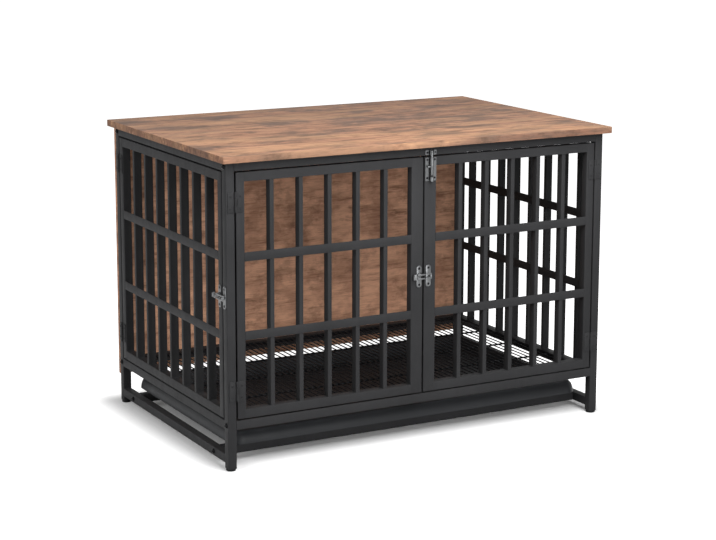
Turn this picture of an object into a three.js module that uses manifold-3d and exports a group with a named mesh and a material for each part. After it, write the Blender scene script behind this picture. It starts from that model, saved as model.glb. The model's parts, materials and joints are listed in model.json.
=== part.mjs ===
// Dog crate end table: a steel crate with two front doors, a side door, a wire floor over a
// pull-out tray, and a board on top that makes it a table.
// Millimetres, +Z up. The origin is on the floor under the middle of the top board, -Y is the front.
import * as THREE from "three";
import { mergeVertices } from "three/addons/utils/BufferGeometryUtils.js";
import Module from "manifold-3d";

const wasm = await Module();
wasm.setup();

// ---------- Frame ----------
const FRAME_WIDTH = 972; // over the outer faces of the left and right posts
const FRAME_DEPTH = 630; // over the outer faces of the front and back posts
const FRAME_HEIGHT = 680; // floor to the top of the top rails
const TUBE = 20; // square tube of posts, rails and door frames
const TUBE_CORNER = 1.6; // rounding of the tube's long edges
const BOTTOM_RAIL_HEIGHT = 92; // floor to the underside of the bottom rails
const LOWER_RAIL_HEIGHT = 16; // floor to the underside of the lower side rails and tray rails
const TRAY_RAIL_INSET = 70; // frame's front or back face to the near face of a tray rail
const FOOT_HEIGHT = 5;
const FOOT_DIAMETER = 22;
const FOOT_CHAMFER = 1.5;

// ---------- Boards ----------
const TOP_THICKNESS = 15;
const TOP_SIDE_OVERHANG = 14;
const TOP_FRONT_OVERHANG = 19;
const TOP_BACK_OVERHANG = 21;
const TOP_CORNER = 4; // rounding of the board's corners, seen from above
const TOP_EDGE = 1; // bevel along its upper and lower edges
const BACK_PANEL_THICKNESS = 10;
const BACK_PANEL_DROP = 22; // how far the back panel hangs below the bottom rail's underside

// ---------- Doors and fixed grille ----------
const DOOR_GAP = 3.5; // all round each door, and between the two front doors
const LATCH_STILE = 30; // the wide stile where the two front doors meet
const BAR_WIDTH = 10;
const STRIP_HEIGHT = 20; // the flat cross strips
const STRIP_THICKNESS = 2;
const FRONT_DOOR_BARS = 5;
const SIDE_DOOR_BARS = 7;
const GRILLE_BARS = 8;
const GRILLE_PITCH = 69.7; // bar to bar in the fixed right side
const GRILLE_STRIP_RISES = [186, 357.5]; // bottom rail's top to the underside of each inner strip

// ---------- Wire floor ----------
const FLOOR_BORDER_WIDTH = 5;
const FLOOR_BORDER_HEIGHT = 8;
const FLOOR_DROP = 0.5; // bottom rail's top to the floor's top
const FLOOR_WIRE = 3;
const FLOOR_WIRE_PITCH = 15.3; // nominal; evened out over the width
const FLOOR_CROSS_WIRE = 4.5;
const FLOOR_CROSS_WIRE_PITCH = 138.3;
const FLOOR_CROSS_WIRES = 3;
const FLOOR_WIRE_DROP = 0.4; // border top to the top of the long wires
const FLOOR_WELD = 0.5; // how far a wire sinks into the cross wire below it

// ---------- Tray ----------
const TRAY_SIDE_CLEARANCE = 8; // tray skirt to the inner face of a post
const TRAY_END_INSET = 37.5; // tray skirt to the frame's front and back faces
const TRAY_CORNER = 30; // rounding of its plan corners
const TRAY_CORNER_STEPS = 4; // facets of each plan corner
const TRAY_SKIRT_LIFT = 9; // pan underside to the skirt's lower edge
const TRAY_SKIRT_RISE = 28; // skirt's lower edge to the crest
const TRAY_SKIRT_LEAN = 18; // how far the skirt leans in on the way up
const TRAY_SKIRT_STEPS = 4; // facets of the skirt's curve
const TRAY_CREST_WIDTH = 3;
const TRAY_WALL_LEAN = 5; // how far the pan's inner wall leans in on the way down
const TRAY_SHEET = 2; // thickness of the moulded sheet

// ---------- Hinges ----------
const HINGE_HEIGHT = 45;
const HINGE_INSET = 40.5; // hinge's end to the door's top or bottom edge
const HINGE_LEAF = 18.4; // pin to the far edge of a leaf
const HINGE_LEAF_THICKNESS = 1.6;
const HINGE_KNUCKLE = 5; // outer diameter
const HINGE_PIN = 2.4;

// ---------- Latches: front doors, and side door to post ----------
const LATCH_HEIGHT = 386; // floor to the middle of both latches
const LATCH_SPREAD = 12; // middle of the door gap to the middle of each plate
const LATCH_PLATE_WIDTH = 13;
const LATCH_PLATE_HEIGHT = 50;
const LATCH_PLATE_THICKNESS = 2;
const LATCH_HOLE = 4.5;
const LATCH_HOLE_SPACING = 37.4;
const LATCH_PIN = 2;
const LATCH_PIN_INSET = 0.5; // outer face of an ear to the pin's end
const LATCH_PIN_STANDOFF = 4.5; // face of the door to the lever's pivot
const LATCH_EYE = 4.4; // outer diameter of the lever's two eyes, and the width of its tongue
const LATCH_EAR_WIDTH = 4;
const LATCH_EAR_THICKNESS = 1.4;
const LATCH_THROW = 5; // lever pivot to loop pivot, along the face
const LATCH_THROW_RISE = 2.7; // lever pivot to loop pivot, away from the face
const LOOP_HEIGHT = 13;
const LOOP_BAR = 4; // height of each of the loop's two bars
const LOOP_BAR_THICKNESS = 2.6;
const LOOP_PARTING = 1.4; // middle of the door gap to the middle of the cut in the loop
const LOOP_PARTING_GAP = 1;
const CATCH_REACH = 17; // middle of the door gap to the middle of the loop's far end
const CATCH_HOOK_WIDTH = 3.5;
const CATCH_HOOK_HEIGHT = 4.6;
const CATCH_HOOK_STANDOFF = 10;
const LEVER_LENGTH = 19; // lever pivot to the tip of its finger curl
const LEVER_THICKNESS = 1.5;
const LEVER_CURL = 5; // how far the tip stands up

// ---------- Bolt at the top of the right front door ----------
const BOLT_FROM_EDGE = 15; // right door's free edge to the middle of the bolt
const BOLT_BASE_WIDTH = 28.5;
const BOLT_BASE_HEIGHT = 53.5;
const BOLT_BASE_DROP = 1; // door's top edge to the base's top
const BOLT_PLATE = 1.6;
const BOLT_ROD = 6;
const BOLT_ROD_LENGTH = 56;
const BOLT_STANDOFF = 5.2; // face of the door to the middle of the rod
const BOLT_ENTRY = 11; // how far the rod reaches over the top rail
const BOLT_GUIDE_WALL = 1.6;
const BOLT_UPPER_GUIDE = 18; // length along the rod
const BOLT_LOWER_GUIDE = 10;
const BOLT_HANDLE = 4.4; // diameter
const BOLT_HANDLE_LENGTH = 11; // from the middle of the rod
const BOLT_HOLE = 4;
const BOLT_HOLE_SPREAD = 19.4;
const BOLT_HOLE_INSET = 5;
const KEEPER_HEIGHT = 11.3;
const KEEPER_LIFT = 1; // middle of the rod's reach over the top rail to the middle of the keeper

// ---------- Frame bolts ----------
const FRAME_BOLT_HEAD = 13;
const FRAME_BOLT_HEIGHT = 3.5;
const FRAME_BOLT_CHAMFER = 1.2;
const FRAME_BOLT_SOCKET = 5; // across corners
const FRAME_BOLT_SOCKET_DEPTH = 2;

const RUNNING_CLEARANCE = 0.3; // round pins and rods, and pieces that pass each other
const LOOSE_CLEARANCE = 0.4; // stamped pieces that stay apart, such as the rod and the keeper's ears
const CUT_OVERRUN = 1; // how far a bore runs past the ends of the piece

// ---------- Places that follow from the sizes above ----------
const TOP_WIDTH = FRAME_WIDTH + 2 * TOP_SIDE_OVERHANG;
const TOP_DEPTH = TOP_FRONT_OVERHANG + FRAME_DEPTH + TOP_BACK_OVERHANG;
const RIGHT = FRAME_WIDTH / 2;
const LEFT = -RIGHT;
const FRONT = -TOP_DEPTH / 2 + TOP_FRONT_OVERHANG;
const BACK = FRONT + FRAME_DEPTH;
const MIDDLE_Y = (FRONT + BACK) / 2;
const INNER_LEFT = LEFT + TUBE;
const INNER_RIGHT = RIGHT - TUBE;
const INNER_FRONT = FRONT + TUBE;
const INNER_BACK = BACK - TUBE;
const TOP_RAIL_HEIGHT = FRAME_HEIGHT - TUBE;
const BOTTOM_RAIL_TOP = BOTTOM_RAIL_HEIGHT + TUBE;
const LOWER_RAIL_TOP = LOWER_RAIL_HEIGHT + TUBE;
const DOOR_BOTTOM = BOTTOM_RAIL_TOP + DOOR_GAP;
const DOOR_TOP = TOP_RAIL_HEIGHT - DOOR_GAP;
const FRONT_DOOR_WIDTH = (FRAME_WIDTH - 2 * TUBE - 3 * DOOR_GAP) / 2;
const SIDE_DOOR_WIDTH = FRAME_DEPTH - 2 * TUBE - 2 * DOOR_GAP;
const HINGE_STANDOFF = HINGE_KNUCKLE / 2; // face of the door to the pin
const HINGE_HEIGHTS = {
  upper: DOOR_TOP - HINGE_INSET - HINGE_HEIGHT,
  lower: DOOR_BOTTOM + HINGE_INSET,
};

// ---------- Solids ----------
// A geometry as a manifold solid, with its shared corners merged.
function solidOf(geometry) {
  const bare = geometry.clone();
  bare.deleteAttribute("normal");
  bare.deleteAttribute("uv");
  const merged = mergeVertices(bare, 1e-4);
  return new wasm.Manifold(
    new wasm.Mesh({
      numProp: 3,
      vertProperties: merged.attributes.position.array,
      triVerts: new Uint32Array(merged.index.array),
    }),
  );
}

function geometryOf(solid) {
  const mesh = solid.getMesh();
  const geometry = new THREE.BufferGeometry();
  geometry.setAttribute("position", new THREE.BufferAttribute(mesh.vertProperties, 3));
  geometry.setIndex(new THREE.BufferAttribute(mesh.triVerts, 1));
  return geometry;
}

// One solid out of several that overlap, less whatever is cut away.
function weld(pieces, cuts = []) {
  const whole = pieces.map(solidOf).reduce((sum, piece) => sum.add(piece));
  return geometryOf(cuts.map(solidOf).reduce((sum, piece) => sum.subtract(piece), whole));
}

const X = new THREE.Vector3(1, 0, 0);
const Y = new THREE.Vector3(0, 1, 0);
const Z = new THREE.Vector3(0, 0, 1);

// A shape drawn in two directions and pushed from one height to another along the third:
// "x" draws in (y, z), "y" draws in (z, x), "z" draws in (x, y), and "-y" draws in (x, z).
function extrude(shape, axis, from, to, curveSegments = 1) {
  const bases = { x: [Y, Z, X], y: [Z, X, Y], z: [X, Y, Z], "-y": [X, Z, Y.clone().negate()] };
  const geometry = new THREE.ExtrudeGeometry(shape, {
    depth: Math.abs(to - from),
    bevelEnabled: false,
    curveSegments,
  });
  geometry.translate(0, 0, axis === "-y" ? -Math.max(from, to) : Math.min(from, to));
  return geometry.applyMatrix4(new THREE.Matrix4().makeBasis(...bases[axis]));
}

function roundedRectangle([u0, u1], [v0, v1], radius) {
  const quarter = Math.PI / 2;
  const shape = new THREE.Shape();
  shape.absarc(u1 - radius, v1 - radius, radius, 0, quarter);
  shape.absarc(u0 + radius, v1 - radius, radius, quarter, 2 * quarter);
  shape.absarc(u0 + radius, v0 + radius, radius, 2 * quarter, 3 * quarter);
  shape.absarc(u1 - radius, v0 + radius, radius, 3 * quarter, 4 * quarter);
  shape.closePath();
  return shape;
}

function circle(u, v, diameter) {
  return new THREE.Shape().absarc(u, v, diameter / 2, 0, 2 * Math.PI);
}

function block([x0, x1], [y0, y1], [z0, z1]) {
  const geometry = new THREE.BoxGeometry(x1 - x0, y1 - y0, z1 - z0);
  return geometry.translate((x0 + x1) / 2, (y0 + y1) / 2, (z0 + z1) / 2);
}

// A length of square tube with rounded long edges, filling the box that it is given.
function tube(axis, xs, ys, zs) {
  const [u, v, along] = { x: [ys, zs, xs], y: [zs, xs, ys], z: [xs, ys, zs] }[axis];
  return extrude(roundedRectangle(u, v, TUBE_CORNER), axis, along[0], along[1]);
}

function cylinder(axis, u, v, diameter, from, to) {
  return extrude(circle(u, v, diameter), axis, from, to, 6);
}

// A bent strip: the outline of a centre line of [x, y] points, given a thickness.
function ribbon(points, thickness) {
  const line = points.map(([x, y]) => new THREE.Vector2(x, y));
  const side = (sign) =>
    line.map((point, i) => {
      const before = line[Math.max(i - 1, 0)];
      const after = line[Math.min(i + 1, line.length - 1)];
      const along = after.clone().sub(before).normalize();
      return new THREE.Vector2(-along.y, along.x).multiplyScalar((sign * thickness) / 2).add(point);
    });
  return new THREE.Shape([...side(-1), ...side(1).reverse()]);
}

// ---------- Finishes, with the colours of the photograph ----------
const FINISHES = {
  top_laminate: { color: 0x9c7459, roughness: 0.55, metalness: 0 },
  back_laminate: { color: 0x7a5844, roughness: 0.6, metalness: 0 },
  black_steel: { color: 0x38393b, roughness: 0.5, metalness: 0.2 },
  black_wire: { color: 0x232325, roughness: 0.45, metalness: 0.2 },
  black_tray: { color: 0x2c2d2f, roughness: 0.55, metalness: 0 },
  black_foot: { color: 0x1c1c1d, roughness: 0.7, metalness: 0 },
  black_bolt: { color: 0x202123, roughness: 0.4, metalness: 0.5 },
  zinc: { color: 0xb9bbbd, roughness: 0.35, metalness: 0.9 },
};

const crateTable = new THREE.Group();

function place(parent, name, geometry, finish) {
  geometry.computeVertexNormals();
  const mesh = new THREE.Mesh(geometry, new THREE.MeshStandardMaterial(FINISHES[finish]));
  mesh.name = name;
  parent.add(mesh);
}

// ---------- Boards ----------
function topBoard() {
  const half = [TOP_WIDTH / 2 - TOP_EDGE, TOP_DEPTH / 2 - TOP_EDGE];
  const shape = roundedRectangle([-half[0], half[0]], [-half[1], half[1]], TOP_CORNER - TOP_EDGE);
  const geometry = new THREE.ExtrudeGeometry(shape, {
    depth: TOP_THICKNESS - 2 * TOP_EDGE,
    bevelThickness: TOP_EDGE,
    bevelSize: TOP_EDGE,
    bevelSegments: 1,
    curveSegments: 2,
  });
  return geometry.translate(0, 0, FRAME_HEIGHT + TOP_EDGE);
}

function addBoards() {
  place(crateTable, "table_top", topBoard(), "top_laminate");
  const panel = block(
    [LEFT, RIGHT],
    [BACK, BACK + BACK_PANEL_THICKNESS],
    [BOTTOM_RAIL_HEIGHT - BACK_PANEL_DROP, FRAME_HEIGHT],
  );
  place(crateTable, "back_panel", panel, "back_laminate");
}

// ---------- Frame ----------
// Two posts and three rails welded into a ladder that stands on its side.
function sideFrame(xs) {
  const posts = [
    [FRONT, INNER_FRONT],
    [INNER_BACK, BACK],
  ].map((ys) => tube("z", xs, ys, [FOOT_HEIGHT, FRAME_HEIGHT]));
  const between = [FRONT + TUBE / 2, BACK - TUBE / 2];
  const rails = [LOWER_RAIL_HEIGHT, BOTTOM_RAIL_HEIGHT, TOP_RAIL_HEIGHT].map((z) =>
    tube("y", xs, between, [z, z + TUBE]),
  );
  return weld([...posts, ...rails]);
}

function foot() {
  const r = FOOT_DIAMETER / 2;
  const profile = [
    [0, 0],
    [r - FOOT_CHAMFER, 0],
    [r, FOOT_CHAMFER],
    [r, FOOT_HEIGHT],
    [0, FOOT_HEIGHT],
  ];
  const geometry = new THREE.LatheGeometry(profile.map(([x, y]) => new THREE.Vector2(x, y)), 20);
  return geometry.rotateX(Math.PI / 2);
}

// A button head with a hexagon socket, seated on the plane x = 0 and standing towards +x.
function boltHead() {
  const r = FRAME_BOLT_HEAD / 2;
  const profile = [
    [0, 0],
    [r, 0],
    [r, FRAME_BOLT_HEIGHT - FRAME_BOLT_CHAMFER],
    [r - FRAME_BOLT_CHAMFER, FRAME_BOLT_HEIGHT],
    [0, FRAME_BOLT_HEIGHT],
  ];
  const head = new THREE.LatheGeometry(profile.map(([x, y]) => new THREE.Vector2(x, y)), 16);
  head.rotateZ(-Math.PI / 2);
  const socket = extrude(
    circle(0, 0, FRAME_BOLT_SOCKET),
    "x",
    FRAME_BOLT_HEIGHT - FRAME_BOLT_SOCKET_DEPTH,
    FRAME_BOLT_HEIGHT + FRAME_BOLT_CHAMFER,
    3,
  );
  return weld([head], [socket]);
}

function addFrame() {
  place(crateTable, "left_side_frame", sideFrame([LEFT, INNER_LEFT]), "black_steel");
  place(crateTable, "right_side_frame", sideFrame([INNER_RIGHT, RIGHT]), "black_steel");
  const across = [INNER_LEFT, INNER_RIGHT];
  const crossRails = {
    top_rail_front: [FRONT, TOP_RAIL_HEIGHT],
    top_rail_back: [INNER_BACK, TOP_RAIL_HEIGHT],
    bottom_rail_front: [FRONT, BOTTOM_RAIL_HEIGHT],
    bottom_rail_back: [INNER_BACK, BOTTOM_RAIL_HEIGHT],
    tray_rail_front: [FRONT + TRAY_RAIL_INSET, LOWER_RAIL_HEIGHT],
    tray_rail_back: [BACK - TRAY_RAIL_INSET - TUBE, LOWER_RAIL_HEIGHT],
  };
  for (const [name, [y, z]] of Object.entries(crossRails))
    place(crateTable, name, tube("x", across, [y, y + TUBE], [z, z + TUBE]), "black_steel");
}

function addFeetAndFrameBolts() {
  const half = TUBE / 2;
  const boltPlaces = {
    front_top: [FRONT + half, TOP_RAIL_HEIGHT + half],
    front_bottom: [FRONT + half, BOTTOM_RAIL_HEIGHT + half],
    back_top: [BACK - half, TOP_RAIL_HEIGHT + half],
    back_bottom: [BACK - half, BOTTOM_RAIL_HEIGHT + half],
    tray_front: [FRONT + TRAY_RAIL_INSET + half, LOWER_RAIL_HEIGHT + half],
    tray_back: [BACK - TRAY_RAIL_INSET - half, LOWER_RAIL_HEIGHT + half],
  };
  for (const [side, sign] of [["left", -1], ["right", 1]]) {
    for (const [end, y] of [["front", FRONT + half], ["back", BACK - half]])
      place(crateTable, `foot_${end}_${side}`, foot().translate(sign * (RIGHT - half), y, 0), "black_foot");
    for (const [spot, [y, z]] of Object.entries(boltPlaces)) {
      const head = sign > 0 ? boltHead() : boltHead().rotateZ(Math.PI);
      place(crateTable, `frame_bolt_${side}_${spot}`, head.translate(sign * RIGHT, y, z), "black_bolt");
    }
  }
}

// ---------- Fixed grille of the right side ----------
// Upright bars between the rails, with two flat strips across their inner faces.
function fixedGrille() {
  const zs = [BOTTOM_RAIL_TOP, TOP_RAIL_HEIGHT];
  const face = INNER_RIGHT + STRIP_THICKNESS;
  const pieces = [];
  for (let i = 0; i < GRILLE_BARS; i++) {
    const y = MIDDLE_Y + (i - (GRILLE_BARS - 1) / 2) * GRILLE_PITCH;
    pieces.push(block([face - STRIP_THICKNESS / 2, RIGHT], [y - BAR_WIDTH / 2, y + BAR_WIDTH / 2], zs));
  }
  for (const rise of GRILLE_STRIP_RISES) {
    const z = BOTTOM_RAIL_TOP + rise;
    pieces.push(block([INNER_RIGHT, face], [INNER_FRONT, INNER_BACK], [z, z + STRIP_HEIGHT]));
  }
  return weld(pieces);
}

// ---------- Wire floor ----------
function wireFloor() {
  const top = BOTTOM_RAIL_TOP - FLOOR_DROP;
  const zs = [top - FLOOR_BORDER_HEIGHT, top];
  const xs = [INNER_LEFT, INNER_RIGHT];
  const ys = [INNER_FRONT, INNER_BACK];
  const w = FLOOR_BORDER_WIDTH;
  const pieces = [
    block([xs[0], xs[0] + w], ys, zs),
    block([xs[1] - w, xs[1]], ys, zs),
    block(xs, [ys[0], ys[0] + w], zs),
    block(xs, [ys[1] - w, ys[1]], zs),
  ];
  const wireTop = top - FLOOR_WIRE_DROP;
  const clearWidth = xs[1] - xs[0] - 2 * w;
  const columns = Math.round(clearWidth / FLOOR_WIRE_PITCH);
  for (let i = 1; i < columns; i++) {
    const x = xs[0] + w + (i * clearWidth) / columns;
    pieces.push(
      block(
        [x - FLOOR_WIRE / 2, x + FLOOR_WIRE / 2],
        [ys[0] + w / 2, ys[1] - w / 2],
        [wireTop - FLOOR_WIRE, wireTop],
      ),
    );
  }
  const crossTop = wireTop - FLOOR_WIRE + FLOOR_WELD;
  for (let i = 0; i < FLOOR_CROSS_WIRES; i++) {
    const y = MIDDLE_Y + (i - (FLOOR_CROSS_WIRES - 1) / 2) * FLOOR_CROSS_WIRE_PITCH;
    pieces.push(
      block(
        [xs[0] + w / 2, xs[1] - w / 2],
        [y - FLOOR_CROSS_WIRE / 2, y + FLOOR_CROSS_WIRE / 2],
        [crossTop - FLOOR_CROSS_WIRE, crossTop],
      ),
    );
  }
  return weld(pieces);
}

// ---------- Tray ----------
// The tray's section, from the middle of its underside out round the skirt and in over the pan.
// Each point is [how far in from the skirt's lower edge, height]. The skirt is a quarter ellipse,
// and its underside is the same curve one sheet thickness inside it.
function traySection() {
  const floor = LOWER_RAIL_TOP;
  const edge = floor + TRAY_SKIRT_LIFT;
  const skirt = (inside) => {
    const lean = TRAY_SKIRT_LEAN - inside;
    const rise = TRAY_SKIRT_RISE - inside;
    return Array.from({ length: TRAY_SKIRT_STEPS + 1 }, (_, i) => {
      const t = (i / TRAY_SKIRT_STEPS) * (Math.PI / 2);
      return [inside + lean * (1 - Math.cos(t)), edge + rise * Math.sin(t)];
    });
  };
  const crestIn = TRAY_SKIRT_LEAN + TRAY_CREST_WIDTH;
  const panOuter = crestIn + TRAY_WALL_LEAN;
  return [
    [panOuter - TRAY_SHEET, floor],
    [crestIn - TRAY_SHEET, edge + TRAY_SKIRT_RISE - TRAY_SHEET],
    ...skirt(TRAY_SHEET).reverse(),
    ...skirt(0),
    [crestIn, edge + TRAY_SKIRT_RISE],
    [panOuter, floor + TRAY_SHEET],
  ];
}

// One ring of the tray: its plan rectangle with round corners, drawn in by a distance.
function trayRing([inset, z]) {
  const halfX = INNER_RIGHT - TRAY_SIDE_CLEARANCE - inset;
  const halfY = FRAME_DEPTH / 2 - TRAY_END_INSET - inset;
  const radius = TRAY_CORNER - inset;
  const ring = [];
  for (let corner = 0; corner < 4; corner++) {
    const cx = (corner === 0 || corner === 3 ? 1 : -1) * (halfX - radius);
    const cy = (corner < 2 ? 1 : -1) * (halfY - radius);
    for (let i = 0; i <= TRAY_CORNER_STEPS; i++) {
      const angle = ((corner + i / TRAY_CORNER_STEPS) * Math.PI) / 2;
      ring.push([cx + radius * Math.cos(angle), MIDDLE_Y + cy + radius * Math.sin(angle), z]);
    }
  }
  return ring;
}

// The section's rings joined into one closed skin, with a flat cap over the first and the last.
function tray() {
  const rings = traySection().map(trayRing);
  const count = rings[0].length;
  const triangles = [];
  for (let r = 0; r + 1 < rings.length; r++)
    for (let i = 0; i < count; i++) {
      const j = (i + 1) % count;
      const [a, b] = [r * count + i, r * count + j];
      triangles.push(a, b, b + count, a, b + count, a + count);
    }
  const last = (rings.length - 1) * count;
  for (let i = 1; i + 1 < count; i++) triangles.push(0, i + 1, i, last, last + i, last + i + 1);
  const geometry = new THREE.BufferGeometry();
  geometry.setAttribute("position", new THREE.Float32BufferAttribute(rings.flat(2), 3));
  geometry.setIndex(triangles);
  return geometry;
}

// ---------- Doors ----------
// A door is drawn as seen from outside, with its hinge pin on the z axis, its frame towards +x and
// its front face at y = HINGE_STANDOFF. The group that holds it puts it in its doorway.
function doorPanel(width, barCount, latchStile) {
  const xs = [DOOR_GAP / 2, DOOR_GAP / 2 + width];
  const ys = [HINGE_STANDOFF, HINGE_STANDOFF + TUBE];
  const zs = [DOOR_BOTTOM, DOOR_TOP];
  const inner = [xs[0] + TUBE, xs[1] - latchStile];
  const across = [xs[0] + TUBE / 2, xs[1] - latchStile / 2];
  const pieces = [
    tube("z", [xs[0], inner[0]], ys, zs),
    tube("z", [inner[1], xs[1]], ys, zs),
    tube("x", across, ys, [zs[0], zs[0] + TUBE]),
    tube("x", across, ys, [zs[1] - TUBE, zs[1]]),
  ];
  const opening = (inner[1] - inner[0] - barCount * BAR_WIDTH) / (barCount + 1);
  for (let i = 0; i < barCount; i++) {
    const x = inner[0] + opening + i * (BAR_WIDTH + opening);
    pieces.push(
      block(
        [x, x + BAR_WIDTH],
        [ys[0] + STRIP_THICKNESS / 2, ys[1]],
        [zs[0] + TUBE / 2, zs[1] - TUBE / 2],
      ),
    );
  }
  const rise = (zs[1] - zs[0] - 2 * TUBE - 2 * STRIP_HEIGHT) / 3;
  for (const step of [1, 2]) {
    const z = zs[0] + TUBE + step * rise + (step - 1) * STRIP_HEIGHT;
    pieces.push(block(across, [ys[0], ys[0] + STRIP_THICKNESS], [z, z + STRIP_HEIGHT]));
  }
  return weld(pieces);
}

// One hinge leaf with its knuckles round the z axis. The post leaf, towards -x, has the two outer
// knuckles and the pin; the door leaf, towards +x, has the middle knuckle, bored for the pin.
function hingeLeaf(side, z) {
  const onPost = side < 0;
  const third = HINGE_HEIGHT / 3;
  const spans = onPost
    ? [[z, z + third], [z + 2 * third, z + HINGE_HEIGHT]]
    : [[z + third + RUNNING_CLEARANCE, z + 2 * third - RUNNING_CLEARANCE]];
  const ys = [HINGE_STANDOFF - HINGE_LEAF_THICKNESS, HINGE_STANDOFF];
  const start = HINGE_KNUCKLE / 2 + LOOSE_CLEARANCE;
  const reach = (from, to) => (onPost ? [-to, -from] : [from, to]);
  const pieces = [block(reach(start, HINGE_LEAF), ys, [z, z + HINGE_HEIGHT])];
  for (const span of spans) {
    pieces.push(block(reach(0, start + HINGE_LEAF_THICKNESS), ys, span));
    pieces.push(cylinder("z", 0, 0, HINGE_KNUCKLE, span[0], span[1]));
  }
  if (onPost) pieces.push(cylinder("z", 0, 0, HINGE_PIN, z + third / 2, z + HINGE_HEIGHT - third / 2));
  const bore = cylinder("z", 0, 0, HINGE_PIN + 2 * RUNNING_CLEARANCE, z, z + HINGE_HEIGHT);
  return weld(pieces, onPost ? [] : [bore]);
}

// A doorway: the door and its two hinges, in a group whose z axis is the hinge pin.
function addDoor(name, width, barCount, latchStile, pinPlace) {
  const doorway = new THREE.Group();
  pinPlace(doorway);
  crateTable.add(doorway);
  place(doorway, `${name}_door`, doorPanel(width, barCount, latchStile), "black_steel");
  for (const [level, z] of Object.entries(HINGE_HEIGHTS)) {
    place(doorway, `${name}_hinge_${level}_post_leaf`, hingeLeaf(-1, z), "black_steel");
    place(doorway, `${name}_hinge_${level}_door_leaf`, hingeLeaf(1, z), "black_steel");
  }
}

function addDoors() {
  const pinX = INNER_RIGHT - DOOR_GAP / 2;
  const pinY = FRONT - HINGE_STANDOFF;
  addDoor("left_front", FRONT_DOOR_WIDTH, FRONT_DOOR_BARS, LATCH_STILE, (group) => {
    group.position.set(-pinX, pinY, 0);
  });
  addDoor("right_front", FRONT_DOOR_WIDTH, FRONT_DOOR_BARS, LATCH_STILE, (group) => {
    group.position.set(pinX, pinY, 0);
    group.scale.x = -1;
  });
  addDoor("side", SIDE_DOOR_WIDTH, SIDE_DOOR_BARS, TUBE, (group) => {
    group.position.set(LEFT - HINGE_STANDOFF, INNER_BACK - DOOR_GAP / 2, 0);
    group.rotation.z = -Math.PI / 2;
  });
}

// ---------- Latches ----------
// A latch is drawn as seen from outside, with the middle of the door gap at x = 0, the faces that
// its plates stand on at y = 0, and the outside towards -y.
function latchPlate(x) {
  const r = LATCH_PLATE_WIDTH / 2;
  const straight = LATCH_PLATE_HEIGHT / 2 - r;
  const shape = new THREE.Shape();
  shape.absarc(x, straight, r, 0, Math.PI);
  shape.absarc(x, -straight, r, Math.PI, 2 * Math.PI);
  shape.closePath();
  for (const z of [-LATCH_HOLE_SPACING / 2, LATCH_HOLE_SPACING / 2])
    shape.holes.push(circle(x, z, LATCH_HOLE));
  return extrude(shape, "-y", -LATCH_PLATE_THICKNESS, 0, 4);
}

const LEVER_PIVOT = [-LATCH_SPREAD, -LATCH_PIN_STANDOFF];
const LOOP_PIVOT = [LEVER_PIVOT[0] - LATCH_THROW, LEVER_PIVOT[1] - LATCH_THROW_RISE];
const LOOP_YS = [LOOP_PIVOT[1] - LOOP_BAR_THICKNESS / 2, LOOP_PIVOT[1] + LOOP_BAR_THICKNESS / 2];
const LOOP_SIDES = [
  [-LOOP_HEIGHT / 2, -LOOP_HEIGHT / 2 + LOOP_BAR],
  [LOOP_HEIGHT / 2 - LOOP_BAR, LOOP_HEIGHT / 2],
];

// The plate on the lever's side, with two ears that hold the lever's pivot pin.
function latchBase() {
  const [x, y] = LEVER_PIVOT;
  const earInside = LOOP_HEIGHT / 2 + LOOSE_CLEARANCE;
  const earOutside = earInside + LATCH_EAR_THICKNESS;
  const ears = [[-earOutside, -earInside], [earInside, earOutside]].map((zs) =>
    block(
      [x - LATCH_EAR_WIDTH / 2, x + LATCH_EAR_WIDTH / 2],
      [y - LATCH_PIN, -LATCH_PLATE_THICKNESS / 2],
      zs,
    ),
  );
  const pinEnd = earOutside - LATCH_PIN_INSET;
  const pin = cylinder("z", x, y, LATCH_PIN, -pinEnd, pinEnd);
  return weld([latchPlate(x), ...ears, pin]);
}

// The lever: a narrow tongue with an eye for each pin, and a wide finger curl.
function latchLever() {
  const [px, py] = LEVER_PIVOT;
  const [qx, qy] = LOOP_PIVOT;
  const half = LOOP_HEIGHT / 2;
  const tongue = [-LATCH_EYE / 2, LATCH_EYE / 2];
  const curlStart = qx - LATCH_EYE / 2 - LOOSE_CLEARANCE;
  const tip = px - LEVER_LENGTH;
  const arm = ribbon([[px, py], [qx, qy], [curlStart - LEVER_THICKNESS, qy]], LATCH_EYE / 2);
  const curl = ribbon(
    [
      [curlStart, qy],
      [(curlStart + tip) / 2, qy + LEVER_THICKNESS / 2],
      [tip + LEVER_CURL / 2, qy],
      [tip + LEVER_THICKNESS / 2, qy - LEVER_CURL],
    ],
    LEVER_THICKNESS,
  );
  const bore = LATCH_PIN + 2 * RUNNING_CLEARANCE;
  return weld(
    [
      cylinder("z", px, py, LATCH_EYE, ...tongue),
      cylinder("z", qx, qy, LATCH_EYE, ...tongue),
      extrude(arm, "z", ...tongue),
      extrude(curl, "z", -half, half),
    ],
    [cylinder("z", px, py, bore, -half, half), cylinder("z", qx, qy, bore, -half, half)],
  );
}

// The wire loop from the lever to the cut at the door gap: a pin and two bars.
function latchLoop() {
  const [x, y] = LOOP_PIVOT;
  const xs = [x - LOOP_BAR_THICKNESS / 2, LOOP_PARTING - LOOP_PARTING_GAP / 2];
  const bars = LOOP_SIDES.map((zs) => block(xs, LOOP_YS, zs));
  const middle = LOOP_HEIGHT / 2 - LOOP_BAR / 2;
  return weld([...bars, cylinder("z", x, y, LATCH_PIN, -middle, middle)]);
}

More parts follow.
